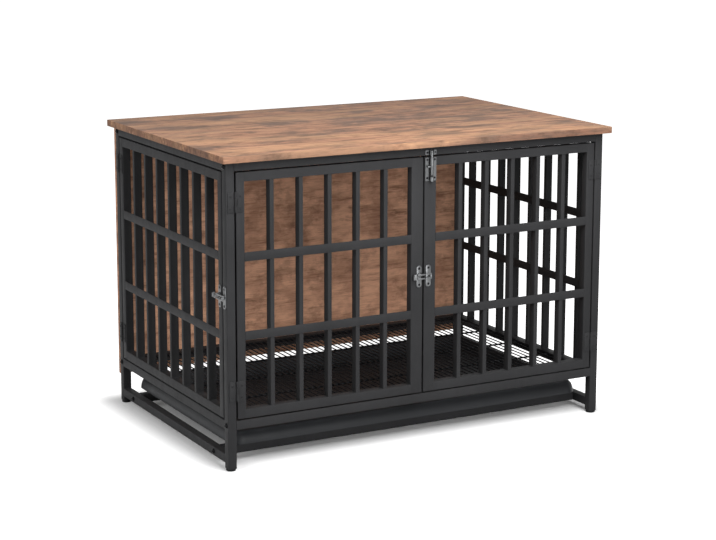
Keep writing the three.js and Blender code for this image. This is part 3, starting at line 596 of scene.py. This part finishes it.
def finishes(context):
    """All the crate's finishes by a short name."""
    c = context.scene.crate_colours
    top = oak_print(c.board, c.board_dark, c.board_light, 2.0, 1.15, (110, 60, 80))
    edge = oak_print(c.edge, c.board_dark, c.board_light, 19.0, 0.7)
    panel = oak_print(c.panel, c.panel_dark, c.panel, 31.0, 0.8, (90, 60, 60))
    rows = (
        ("top", "printed_oak_top", top),
        ("edge", "printed_oak_edge_band", edge),
        ("panel", "printed_oak_back", panel),
        ("steel", "powder_coated_steel", powder_coat(c.steel, 0.52, 1.0)),
        ("hinge", "powder_coated_hinge_steel", powder_coat(c.steel, 0.5, 13.0)),
        ("wire", "coated_floor_wire", powder_coat(c.wire, 0.42, 23.0)),
        ("tray", "moulded_tray_plastic", moulded_plastic(c.tray, 0.42, 3.0)),
        ("foot", "moulded_foot_plastic", moulded_plastic(c.foot, 0.55, 8.0)),
        ("bolt", "blackened_bolt_steel", plated_metal(c.bolt, 0.42, 5.0)),
        ("screw", "dark_zinc_screw", plated_metal(c.screw, 0.4, 15.0)),
        ("zinc", "bright_zinc_plate", plated_metal(c.zinc, 0.34, 27.0)),
    )
    return {key: finish_of(name, draw) for key, name, draw in rows}


# ---------- Pieces ----------
class Build:
    """What every piece's operator needs: the sizes in millimetres and the finishes."""

    def __init__(self, context):
        sizes = context.scene.crate_sizes
        self.size = {key: getattr(sizes, key) * 1000 for key in CRATE_PG_sizes.__annotations__}
        self.finish = finishes(context)


class CRATE_OT_boards(bpy.types.Operator):
    """Builds the table top with its edge band, and the back panel"""

    bl_idname = "crate.boards"
    bl_label = "Boards"

    def execute(self, context):
        b = Build(context)
        edge = b.size["board_edge"]
        for part, axis, corner, faces in (
            ("table_top", "z", TOP_CORNER, ("top", "edge")),
            ("back_panel", "y", PANEL_CORNER, ("panel", "panel")),
        ):
            board = Surface()
            board.tube(axis, *zip(*span(part)), corner, steps=6, finish=1, ease=edge, rim=4)
            # The last two faces are the board's own, and all before them is its edge.
            board.finishes[-2:] = [0, 0]
            board.made(part, "board", b, *faces, crease=60.0)
        return {"FINISHED"}


class CRATE_OT_steel(bpy.types.Operator):
    """Builds the two side frames, the cross rails and the fixed grille"""

    bl_idname = "crate.steel"
    bl_label = "Steel frame"

    def execute(self, context):
        b = Build(context)
        for side in ("left", "right"):
            self.side_frame(f"{side}_side_frame", b)
        for level in ("top", "bottom", "tray"):
            for end in ("front", "back"):
                part = f"{level}_rail_{end}"
                rail = Surface()
                rail.tube("x", *zip(*span(part)), b.size["rail_corner"])
                rail.made(part, "tube", b, "steel")
        self.grille("right_side_grille", b)
        return {"FINISHED"}

    @staticmethod
    def side_frame(part, b):
        """Two posts, three rails between them, and a fillet weld in every inside corner."""
        low, high = span(part)
        tube, corner, bead = b.size["tube"], b.size["tube_corner"], b.size["weld_bead"]
        xs, zs = (low[0], high[0]), (low[2], high[2])
        inner = (low[1] + tube, high[1] - tube)
        side = Surface()
        side.tube("z", xs, (low[1], inner[0]), zs, corner, ease=TUBE_END)
        side.tube("z", xs, (inner[1], high[1]), zs, corner, ease=TUBE_END)
        lower = span("tray_rail_front")[0][2]
        bottom = span("bottom_rail_front")[0][2]
        beads = (xs[0] + corner, xs[1] - corner)
        for z in (lower, bottom, high[2] - tube):
            side.tube("y", xs, (inner[0] - corner, inner[1] + corner), (z, z + tube), corner)
            for y in inner:
                for edge in (z, z + tube):
                    if edge < high[2]:
                        side.rod("x", y, edge, 2 * bead, beads, 10, ease=BEAD_END)
        side.made(part, "tubes", b, "steel")

    @staticmethod
    def grille(part, b):
        """Upright bars and two flat strips across their inner faces."""
        low, high = span(part)
        half, corner = b.size["bar"] / 2, b.size["bar_corner"]
        face = low[0] + b.size["strip_thickness"]
        middle = (low[1] + high[1]) / 2
        xs = (face - STRIP_WELD, high[0])
        beads = (xs[0] + corner, xs[1] - corner)
        grille = Surface()
        for i in range(GRILLE_BARS):
            y = middle + (i - (GRILLE_BARS - 1) / 2) * GRILLE_PITCH
            grille.tube("z", xs, (y - half, y + half), (low[2], high[2]), corner)
            for z in (low[2], high[2]):
                for side in (y - half, y + half):
                    grille.rod("x", side, z, BAR_BEAD, beads, 8, ease=BAR_BEAD_END)
        for z in GRILLE_STRIPS:
            zs = (z, z + b.size["strip_height"])
            grille.tube("y", (low[0], face), (low[1], high[1]), zs, STRIP_CORNER, 2)
        grille.made(part, "bars", b, "steel")


class CRATE_OT_doors(bpy.types.Operator):
    """Builds the two front doors and the side door"""

    bl_idname = "crate.doors"
    bl_label = "Doors"

    def execute(self, context):
        b = Build(context)
        wide = b.size["latch_stile"]
        self.door("left_front_door", "left", FRONT_DOOR_BARS, wide, b)
        self.door("right_front_door", "right", FRONT_DOOR_BARS, wide, b)
        self.door("side_door", "side", SIDE_DOOR_BARS, b.size["tube"], b)
        return {"FINISHED"}

    @staticmethod
    def door(part, side, bars, stile, b):
        """A welded frame of square tube with upright bars set back behind two flat strips. Drawn
        from the hinge edge towards the latch, with its outer face at nothing."""
        low, high = span(part)
        x, y, width = {
            "left": (low[0], low[1], high[0] - low[0]),
            "right": (high[0], low[1], high[0] - low[0]),
            "side": (low[0], high[1], high[1] - low[1]),
        }[side]
        door = Surface((x, y, 0), *FACING[side])
        tube, corner, bead = b.size["tube"], b.size["tube_corner"], b.size["weld_bead"]
        ys, zs = (0, tube), (low[2], high[2])
        inner = (tube, width - stile)
        door.tube("z", (0, inner[0]), ys, zs, corner, ease=TUBE_END)
        door.tube("z", (inner[1], width), ys, zs, corner, ease=TUBE_END)
        across = (inner[0] - corner, inner[1] + corner)
        for z in (zs[0], zs[1] - tube):
            door.tube("x", across, ys, (z, z + tube), b.size["rail_corner"])
        rails = (zs[0] + tube, zs[1] - tube)
        for x in inner:
            for z in rails:
                door.rod("y", z, x, 2 * bead, (corner, tube - corner), 10, ease=BEAD_END)
        opening = (inner[1] - inner[0] - bars * b.size["bar"]) / (bars + 1)
        beads = (BAR_SETBACK + BAR_BEAD_INSET, tube - BAR_BEAD_INSET)
        for i in range(bars):
            x = inner[0] + opening + i * (b.size["bar"] + opening)
            xs = (x, x + b.size["bar"])
            run = (rails[0] - BAR_WELD, rails[1] + BAR_WELD)
            door.tube("z", xs, (BAR_SETBACK, tube), run, b.size["bar_corner"])
            for z in rails:
                for edge in xs:
                    door.rod("y", z, edge, BAR_BEAD, beads, 8, ease=BAR_BEAD_END)
        tall = b.size["strip_height"]
        rise = (rails[1] - rails[0] - 2 * tall) / 3
        for step in (1, 2):
            z = rails[0] + step * rise + (step - 1) * tall
            xs = (inner[0] - STRIP_WELD, inner[1] + STRIP_WELD)
            ys = (0, b.size["strip_thickness"])
            door.tube("x", xs, ys, (z, z + tall), STRIP_CORNER, 2)
        door.made(part, "tubes", b, "steel")


class CRATE_OT_wire_floor(bpy.types.Operator):
    """Builds the wire floor: a border, long wires and cross wires"""

    bl_idname = "crate.wire_floor"
    bl_label = "Wire floor"

    def execute(self, context):
        b = Build(context)
        border, wire, cross = FLOOR_BORDER, b.size["floor_wire"], b.size["cross_wire"]
        xs, ys, zs = zip(*span("wire_floor"))
        floor = Surface()
        for x in (xs[0], xs[1] - border):
            floor.tube("y", (x, x + border), ys, zs, BORDER_CORNER, 3)
        lapped = (xs[0] + BORDER_LAP, xs[1] - BORDER_LAP)
        for y in (ys[0], ys[1] - border):
            floor.tube("x", lapped, (y, y + border), zs, BORDER_CORNER, 3)
        top = zs[1] - WIRE_DROP
        clear = xs[1] - xs[0] - 2 * border
        columns = round(clear / WIRE_PITCH)
        for i in range(1, columns):
            x = xs[0] + border + i * clear / columns
            ends = (ys[0] + border / 2, ys[1] - border / 2)
            floor.rod("y", top - wire / 2, x, wire, ends, 10)
        level = top - wire + WIRE_WELD - cross / 2
        middle = (ys[0] + ys[1]) / 2
        for i in (-1, 0, 1):
            ends = (xs[0] + border / 2, xs[1] - border / 2)
            floor.rod("x", middle + i * CROSS_PITCH, level, cross, ends, 12)
        floor.made("wire_floor", "wires", b, "wire")
        return {"FINISHED"}


class CRATE_OT_tray(bpy.types.Operator):
    """Builds the pull-out tray: one moulded sheet with a rolled skirt and a shallow pan"""

    bl_idname = "crate.tray"
    bl_label = "Tray"

    def execute(self, context):
        low, high = span("tray")
        edge, crest = low[2] + TRAY_EDGE, low[2] + TRAY_EDGE + TRAY_RISE
        wall = TRAY_LEAN + TRAY_CREST
        toe, pan = wall + TRAY_SLOPE, low[2] + TRAY_SHEET

        def skirt(inside, steps=14):
            """A quarter ellipse: in by the lean times (1 - cos t), up by the rise times sin t."""
            t = np.linspace(0, math.pi / 2, steps)
            over, up = TRAY_LEAN - inside, TRAY_RISE - inside
            return np.stack([inside + over * (1 - np.cos(t)), edge + up * np.sin(t)], -1)

        # The wall's top falls away by t squared, and its foot rounds into the pan the same way.
        t = np.linspace(0, 1, 7)
        back, past, fall = 1.5, 0.4, 1.6
        cove, undercut = 3.0, 0.6
        roll = np.stack([wall - back + (back + past) * t, crest - fall * t**2], -1)
        foot = np.stack([toe + cove * t**2 - undercut * (1 - t), pan + cove * (1 - t) ** 2], -1)
        under = [[toe - TRAY_SHEET, low[2]], [wall - TRAY_SHEET, crest - TRAY_SHEET]]
        section = np.concatenate([under, skirt(TRAY_SHEET)[::-1], skirt(0.0), roll, foot])
        half, centre = (high[:2] - low[:2]) / 2, (high[:2] + low[:2]) / 2
        rings = []
        for inset, z in section:
            u, v = half - inset
            radius = max(TRAY_CORNER - inset, TRAY_LEAST_CORNER)
            outline = rounded((-u, u), (-v, v), radius, 14)
            rings.append(np.column_stack([outline + centre, np.full(len(outline), z)]))
        tray = Surface()
        tray.skin(np.array(rings))
        tray.made("tray", "sheet", Build(context), "tray", crease=50.0)
        return {"FINISHED"}


class CRATE_OT_feet_and_bolts(bpy.types.Operator):
    """Builds the four foot glides and the twelve frame bolts"""

    bl_idname = "crate.feet_and_bolts"
    bl_label = "Feet and frame bolts"

    def execute(self, context):
        b = Build(context)
        for end in ("front", "back"):
            for side in ("left", "right"):
                self.foot(f"foot_{end}_{side}", b)
        spots = ("front_top", "front_bottom", "back_top", "back_bottom", "tray_front", "tray_back")
        for side, outwards in (("left", -1), ("right", 1)):
            for spot in spots:
                self.bolt(f"frame_bolt_{side}_{spot}", outwards, b)
        return {"FINISHED"}

    @staticmethod
    def foot(part, b):
        """A turned glide: a flat tread, a rounded shoulder and a rim under the post."""
        low, high = span(part)
        centre, radius = (low + high)[:2] / 2, (high[0] - low[0]) / 2
        t = np.linspace(0, math.pi / 2, 6)
        core = radius - FOOT_SHOULDER
        flare = core + FOOT_SHOULDER * np.sin(t)
        rise = FOOT_TREAD + FOOT_SHOULDER * (1 - np.cos(t))
        radii = [core - FOOT_CHAMFER, *flare, radius, radius - FOOT_RIM]
        heights = [0.0, *rise, high[2] - FOOT_RIM, high[2]]
        foot = Surface()
        foot.skin(carry("z", np.array([disc(*centre, r, 36) for r in radii]), heights))
        foot.made(part, "glide", b, "foot", crease=50.0)

    @staticmethod
    def bolt(part, outwards, b):
        """A button head with a hexagon socket on a thin washer."""
        low, high = span(part)
        _, y, z = (low + high) / 2
        seat = high[0] if outwards < 0 else low[0]
        tall = high[0] - low[0] - BOLT_LIFT
        bolt = Surface()
        radii, heights = zip(*WASHER)
        sections = np.array([disc(y, z, r, 48) for r in radii])
        rings = carry("x", sections, seat + outwards * np.array(heights))
        bolt.skin(rings if outwards > 0 else rings[::-1])
        start = seat + outwards * BOLT_LIFT
        screw_head(bolt, "x", y, z, start, outwards, BOLT_HEAD, tall, 0, "hexagon")
        bolt.made(part, "head", b, "bolt")


class CRATE_OT_hinges(bpy.types.Operator):
    """Builds the six hinges, two leaves each, with their screws"""

    bl_idname = "crate.hinges"
    bl_label = "Hinges"

    def execute(self, context):
        b = Build(context)
        for side, door in (("left", "left_front"), ("right", "right_front"), ("side", "side")):
            for level in ("upper", "lower"):
                for leaf in ("post", "door"):
                    self.leaf(side, f"{door}_hinge_{level}", leaf, b)
        return {"FINISHED"}

    @staticmethod
    def leaf(side, hinge, leaf, b):
        """A stamped leaf with round corners, its rolled knuckles, and two screws. Drawn with the
        pin on the upright axis, the door along +x and the doors' face at the knuckle's radius."""
        low, high = span(f"{hinge}_post_leaf")
        radius = KNUCKLE / 2
        x = high[0] - radius if side == "left" else low[0] + radius
        surface = Surface((x, low[1] + radius, 0), *FACING[side])
        zs, third = (low[2], high[2]), (high[2] - low[2]) / 3
        sign = -1 if leaf == "post" else 1
        ys = (LEAF_FACE, radius)
        xs = sorted(sign * reach for reach in LEAF_SPAN)
        surface.plate("y", rounded(zs, xs, LEAF_CORNER, 5), ys, LEAF_EDGE)
        if leaf == "post":
            spans = [(zs[0] + 0.5, zs[0] + third), (zs[1] - third, zs[1] - 0.5)]
        else:
            spans = [(zs[0] + third + 0.3, zs[1] - third - 0.3)]
        for knuckle in spans:
            surface.rod("z", 0, 0, KNUCKLE, knuckle, 28, ease=LEAF_EDGE)
            neck = sorted((0.0, sign * 4.6))
            surface.tube("z", neck, ys, (knuckle[0] + 0.2, knuckle[1] - 0.2), 0.3, 2)
        if leaf == "post":
            for ends in ((zs[0], zs[0] + PIN_END), (zs[1] - PIN_END, zs[1])):
                surface.rod("z", 0, 0, HINGE_PIN, ends, 20, ease=0.5)
        for z in (zs[0] + LEAF_SCREW_END, zs[1] - LEAF_SCREW_END):
            x = sign * LEAF_SCREW
            screw_head(surface, "y", z, x, 1.0, -1, b.size["hinge_screw"], 1.0, 0)
        surface.made(f"{hinge}_{leaf}_leaf", "steel", b, "hinge")


def latch_place(which):
    """The latch's own axes: the middle of the door gap, along the faces, and inwards."""
    low, high = span(f"{which}_latch_plate")
    level = (low[2] + high[2]) / 2
    if which == "front":
        return ((high[0] + PLATE_GAP, high[1], level), *FACING["left"])
    return ((high[0], low[1] - PLATE_GAP, level), *FACING["side"])


class CRATE_OT_latches(bpy.types.Operator):
    """Builds the front and the side latch: base plate, lever, wire loop and catch plate"""

    bl_idname = "crate.latches"
    bl_label = "Latches"

    def execute(self, context):
        b = Build(context)
        for which in ("front", "side"):
            for piece in (self.plate, self.lever, self.loop, self.catch):
                surface = Surface(*latch_place(which))
                finishes_used = piece(surface, b)
                kind = "wire" if piece == self.loop else "steel"
                surface.made(f"{which}_latch_{piece.__name__}", kind, b, *finishes_used)
        return {"FINISHED"}

    @staticmethod
    def riveted(surface, x, b):
        """A flat plate with two round ends and two rivets."""
        half = PLATE_HEIGHT / 2
        xs = (x - PLATE_WIDTH / 2, x + PLATE_WIDTH / 2)
        outline = rounded((-half, half), xs, PLATE_WIDTH / 2 - 0.01, 12)
        surface.plate("y", outline, (-PLATE_DEPTH, 0), 0.45)
        for z in (-RIVET_AT, RIVET_AT):
            surface.rod("y", z, x, RIVET, (-2.35, -1.9), 28, ease=0.2)
            screw_head(surface, "y", z, x, -2.2, -1, b.size["screw_head"], 0.9, 1)

    @staticmethod
    def legs(surface, xs):
        """The wire loop's two level sides, from one station along the faces to the other."""
        for side in (-1, 1):
            zs = sorted(side * z for z in LOOP_LEG)
            surface.tube("x", xs, LOOP_DEPTH, zs, LOOP_ROUND, 5, ease=0.5)

    @classmethod
    def plate(cls, surface, b):
        """The plate on the lever's side, with two ears and the lever's pin."""
        cls.riveted(surface, -PLATE_AT, b)
        x, y = LEVER_PIN
        ear = rounded((x - EAR_REACH, x + EAR_REACH), (y - EAR_REACH, -1), 1.9, 6)
        for side in (-1, 1):
            surface.plate("z", ear, sorted(side * z for z in EAR), 0.3)
        surface.rod("z", x, y, PIN, (-EAR[1], EAR[1]), 20, ease=0.4)
        return "zinc", "screw"

    @staticmethod
    def lever(surface, b):
        """A bent thumb lever: two rolled eyes, the arm between them, and a curled finger tab on a
        neck narrow enough for the loop's sides to swing past it."""
        for x, y in (LEVER_PIN, LOOP_PIN):
            inner, outer = (disc(x, y, radius, 28) for radius in EYE)
            ends = (-EYE_HALF, -EYE_HALF, EYE_HALF, EYE_HALF)
            rings = carry("z", np.array([inner, outer, outer, inner]), ends)
            surface.skin(rings, joined=True)
        arm = smooth_path([(-13.4, -5.2), (-14.5, -5.85), (-15.6, -6.5)], 6)
        surface.skin(swept(arm, LEVER_NECK, 2.0)[::-1])
        tab = smooth_path([(-18.8, -7.3), (-23.0, -8.0), (-27.6, -7.6), (-30.1, -11.6)], 22)
        widths = LEVER_TAB * np.clip(1.05 - 0.35 * np.linspace(0, 1, 22) ** 4, 0, 1)
        widths[-1] = widths[-2] * 0.8
        widths[tab[:, 0] > NECK_END] = LEVER_NECK
        surface.skin(swept(tab, widths, 1.5)[::-1])
        return ("zinc",)

    @classmethod
    def loop(cls, surface, b):
        """The wire loop's two sides and the pin they turn on, up to the cut at the door gap."""
        cls.legs(surface, (-18.3, 0.9))
        surface.rod("z", *LOOP_PIN, PIN, (-4.5, 4.5), 20)
        return ("zinc",)

    @classmethod
    def catch(cls, surface, b):
        """The catch plate, its bent hook, and the loop's far end round the hook."""
        cls.riveted(surface, PLATE_AT, b)
        cls.legs(surface, (1.9, 17.0))
        surface.tube("z", (15.7, 18.3), LOOP_DEPTH, (-6.4, 6.4), LOOP_ROUND, 5, ease=0.5)
        hook = smooth_path([(13.4, -1.4), (13.5, -5.5), (14.2, -8.6), (16.0, -9.3)], 16)
        surface.skin(swept(hook, 4.6, 1.5)[::-1])
        return "zinc", "screw"


class CRATE_OT_top_bolt(bpy.types.Operator):
    """Builds the barrel bolt at the top of the right front door, and its keeper"""

    bl_idname = "crate.top_bolt"
    bl_label = "Top bolt"

    def execute(self, context):
        b = Build(context)
        xs, ys, zs = zip(*span("top_bolt_base"))
        x, face = (xs[0] + xs[1]) / 2, ys[1]
        rod = face - ROD_AT
        upper = zs[1] - SADDLE_UPPER
        base = Surface()
        self.open_plate(base, zs, xs, x, face, 2.5)
        self.saddle(base, x, face, rod, (zs[0], zs[0] + SADDLE_LOWER))
        self.saddle(base, x, face, rod, (upper, zs[1]))
        self.screws(base, (zs[0] + 7, zs[1] - 5), x, face, b)
        base.made("top_bolt_base", "steel", b, "zinc", "screw")

        low, high = span("top_bolt_rod")
        bolt = Surface()
        bolt.rod("z", x, rod, ROD, (low[2], high[2]), 28, ease=0.9)
        # The handle rests just under the upper guide.
        bolt.rod("x", rod, upper - 0.3 - HANDLE / 2, HANDLE, (low[0], x), 24, ease=0.8)
        bolt.made("top_bolt_rod", "steel", b, "zinc")

        xs, ys, zs = zip(*span("top_bolt_keeper"))
        keeper = Surface()
        self.open_plate(keeper, zs, xs, x, face, 1.5)
        for side in KEEPER_EARS:
            ear = rounded((ys[0], face - 0.8), zs, 1.2, 4)
            keeper.plate("x", ear, (x + side, x + side + KEEPER_EAR), 0.3)
        self.screws(keeper, (sum(zs) / 2,), x, face, b)
        keeper.made("top_bolt_keeper", "steel", b, "zinc", "screw")
        return {"FINISHED"}

    @staticmethod
    def screws(surface, levels, x, face, b):
        """A pair of small screws at each level, one on either side of the rod."""
        size = b.size["screw_head"] * 0.86
        for z in levels:
            for side in (-BOLT_SCREW_AT, BOLT_SCREW_AT):
                screw_head(surface, "y", z, x + side, face - BOLT_PLATE, -1, size, 0.8, 1)

    @staticmethod
    def open_plate(surface, zs, xs, x, face, rim):
        """A stamped plate with a window behind the rod: an outer and an inner rounded rectangle,
        the outer one drawn in a little at the front for its broken edge."""
        edge = 0.35
        outer = rounded(zs, xs, 1.6, 4)
        inner = rounded((zs[0] + rim, zs[1] - rim), (x - 6.3, x + 6.3), 0.6, 4)
        sections = np.array([inner, drawn_in(outer, edge), outer, outer, inner])
        front = face - BOLT_PLATE
        surface.skin(carry("y", sections, (front, front, front + edge, face, face)), joined=True)

    @staticmethod
    def saddle(surface, x, face, rod, zs):
        """An arch over the rod: an outer and an inner line from one foot round to the other, each a
        straight leg, a half circle and a straight leg, carried along the rod."""
        t = np.linspace(math.pi, FULL_TURN, 17)

        def arch(radius):
            curve = np.stack([x + radius * np.cos(t), rod + radius * np.sin(t)], -1)
            return np.concatenate([[[x - radius, face]], curve, [[x + radius, face]]])

        surface.skin(carry("z", np.concatenate([arch(4.4), arch(3.3)[::-1]]), zs))


# ---------- Stage ----------
class CRATE_OT_stage(bpy.types.Operator):
    """Sets the floor, the soft studio light, the world and the camera"""

    bl_idname = "crate.stage"
    bl_label = "Studio"

    def execute(self, context):
        studio = context.scene.crate_studio
        context.scene.view_settings.view_transform = "Standard"
        self.floor(context)
        self.lamp("overhead_softbox", studio.overhead, 3.2, (-0.5, -0.6, 2.7), (0, 0, 0.3))
        self.lamp("left_softbox", studio.left, 1.8, (-2.7, -0.7, 1.5), (0, 0, 0.5))
        self.lamp("front_softbox", studio.front, 1.2, (0.05, -1.2, 1.6), (0, -0.1, 0.6))
        self.lamp("panel_softbox", studio.inside, 1.8, (0.0, -4.2, 0.8), (0, 0, 0.4))
        self.world(context, studio.ambient)
        self.camera(context, studio)
        return {"FINISHED"}

    @staticmethod
    def shown(tree):
        """1 for rays from the camera and rays mirrored or let through, 0 for the rest."""
        rays = add(tree, "ShaderNodeLightPath").outputs
        seen = rays["Is Camera Ray"]
        for kind in ("Is Glossy Ray", "Is Transmission Ray"):
            inputs = {0: seen, 1: rays[kind]}
            seen = add(tree, "ShaderNodeMath", inputs, operation="MAXIMUM").outputs[0]
        return seen

    def floor(self, context):
        """A pale floor 60 m across. Away from the crate it glows up to plain white, so that it
        meets the white world, and it returns little light to the crate."""
        mesh = bpy.data.meshes.new("studio_floor")
        reach = 30.0
        corners = [(-reach, -reach, 0), (reach, -reach, 0), (reach, reach, 0), (-reach, reach, 0)]
        mesh.from_pydata(corners, [], [(0, 1, 2, 3)])
        floor = bpy.data.objects.new("studio_floor", mesh)
        context.scene.collection.objects.link(floor)
        material = bpy.data.materials.new("studio_floor_paper")
        material.use_nodes = True
        tree = material.node_tree
        tree.nodes.clear()
        # The glow follows the distance outside the footprint, whose half sizes are in metres.
        out = add(tree, "ShaderNodeTexCoord").outputs["Object"]
        for operation, other in (
            ("ABSOLUTE", (0, 0, 0)),
            ("SUBTRACT", (0.486, 0.316, 0)),
            ("MAXIMUM", (0, 0, 0)),
        ):
            inputs = {0: out, 1: other}
            out = add(tree, "ShaderNodeVectorMath", inputs, operation=operation).outputs[0]
        away = add(tree, "ShaderNodeVectorMath", {0: out}, operation="LENGTH").outputs["Value"]
        inputs = {"Value": away, "From Min": 0.0, "From Max": 0.11, "To Min": 0.06, "To Max": 1.0}
        glow = add(tree, "ShaderNodeMapRange", inputs, interpolation_type="SMOOTHSTEP").outputs[0]
        pale = rgba(context.scene.crate_colours.floor)
        paper = add(tree, "ShaderNodeBsdfDiffuse", {"Color": pale}).outputs[0]
        light = add(tree, "ShaderNodeEmission", {"Color": rgba(1.0), "Strength": glow}).outputs[0]
        seen = add(tree, "ShaderNodeAddShader", {0: paper, 1: light}).outputs[0]
        dull = add(tree, "ShaderNodeBsdfDiffuse", {"Color": rgba(0.12)}).outputs[0]
        inputs = {0: self.shown(tree), 1: dull, 2: seen}
        mixed = add(tree, "ShaderNodeMixShader", inputs).outputs[0]
        add(tree, "ShaderNodeOutputMaterial", {"Surface": mixed})
        mesh.materials.append(material)

    @staticmethod
    def lamp(name, power, size, position, target):
        data = bpy.data.lights.new(name, "AREA")
        data.energy, data.size = power, size
        lamp = bpy.data.objects.new(name, data)
        lamp.visible_camera = False
        bpy.context.scene.collection.objects.link(lamp)
        towards = np.array(target, float) - np.array(position)
        back = -towards / np.linalg.norm(towards)
        side = np.cross((0, 0, 1), back)
        side = side / np.linalg.norm(side)
        turned = np.column_stack([side, np.cross(back, side), back])
        lamp.matrix_world = Matrix.Translation(position) @ Matrix(turned.tolist()).to_4x4()

    def world(self, context, ambient):
        """Plain white where it is seen, and the room's weak light everywhere else."""
        world = bpy.data.worlds.new("studio_world")
        world.use_nodes = True
        tree = world.node_tree
        tree.nodes.clear()
        dim, white = (
            add(tree, "ShaderNodeBackground", {"Color": rgba(1.0), "Strength": strength}).outputs[0]
            for strength in (ambient, 1.0)
        )
        inputs = {0: self.shown(tree), 1: dim, 2: white}
        mixed = add(tree, "ShaderNodeMixShader", inputs).outputs[0]
        add(tree, "ShaderNodeOutputWorld", {"Surface": mixed})
        context.scene.world = world

    @staticmethod
    def camera(context, studio):
        """The photograph's own viewpoint, with the lens shift its framing has."""
        data = bpy.data.cameras.new("photograph_camera")
        camera = bpy.data.objects.new("photograph_camera", data)
        context.scene.collection.objects.link(camera)
        data.sensor_width = SENSOR
        data.lens = studio.focal
        data.shift_y = studio.rise
        data.clip_end = 100
        a, e, roll = studio.azimuth, studio.elevation, studio.roll
        back = np.array([math.sin(a) * math.cos(e), -math.cos(a) * math.cos(e), math.sin(e)])
        right = np.cross(-back, (0, 0, 1))
        right /= np.linalg.norm(right)
        down = np.cross(-back, right)
        turned_right = math.cos(roll) * right + math.sin(roll) * down
        turned_down = -math.sin(roll) * right + math.cos(roll) * down
        axes = np.column_stack([turned_right, -turned_down, back])
        place = Matrix.Translation(studio.position)
        camera.matrix_world = place @ Matrix(axes.tolist()).to_4x4()
        context.scene.camera = camera


STEPS = (
    CRATE_OT_boards,
    CRATE_OT_steel,
    CRATE_OT_doors,
    CRATE_OT_wire_floor,
    CRATE_OT_tray,
    CRATE_OT_feet_and_bolts,
    CRATE_OT_hinges,
    CRATE_OT_latches,
    CRATE_OT_top_bolt,
    CRATE_OT_stage,
)


class CRATE_PT_panel(bpy.types.Panel):
    """Lists the crate's operators, sizes, colours and studio values"""

    bl_idname = "CRATE_PT_panel"
    bl_label = "Dog crate end table"
    bl_space_type = "VIEW_3D"
    bl_region_type = "UI"
    bl_category = "Dog crate"

    def draw(self, context):
        scene = context.scene
        for step in STEPS:
            self.layout.operator(step.bl_idname)
        for group in (scene.crate_sizes, scene.crate_colours, scene.crate_studio):
            box = self.layout.box()
            for key in type(group).__annotations__:
                box.prop(group, key)


CLASSES = (CRATE_PG_sizes, CRATE_PG_colours, CRATE_PG_studio, *STEPS, CRATE_PT_panel)


def register():
    for cls in CLASSES:
        bpy.utils.register_class(cls)
    bpy.types.Scene.crate_sizes = bpy.props.PointerProperty(type=CRATE_PG_sizes)
    bpy.types.Scene.crate_colours = bpy.props.PointerProperty(type=CRATE_PG_colours)
    bpy.types.Scene.crate_studio = bpy.props.PointerProperty(type=CRATE_PG_studio)


def unregister():
    del bpy.types.Scene.crate_studio
    del bpy.types.Scene.crate_colours
    del bpy.types.Scene.crate_sizes
    for cls in reversed(CLASSES):
        bpy.utils.unregister_class(cls)


def main():
    register()
    for step in STEPS:
        group, name = step.bl_idname.split(".")
        getattr(getattr(bpy.ops, group), name)()


if __name__ == "__main__":
    main()
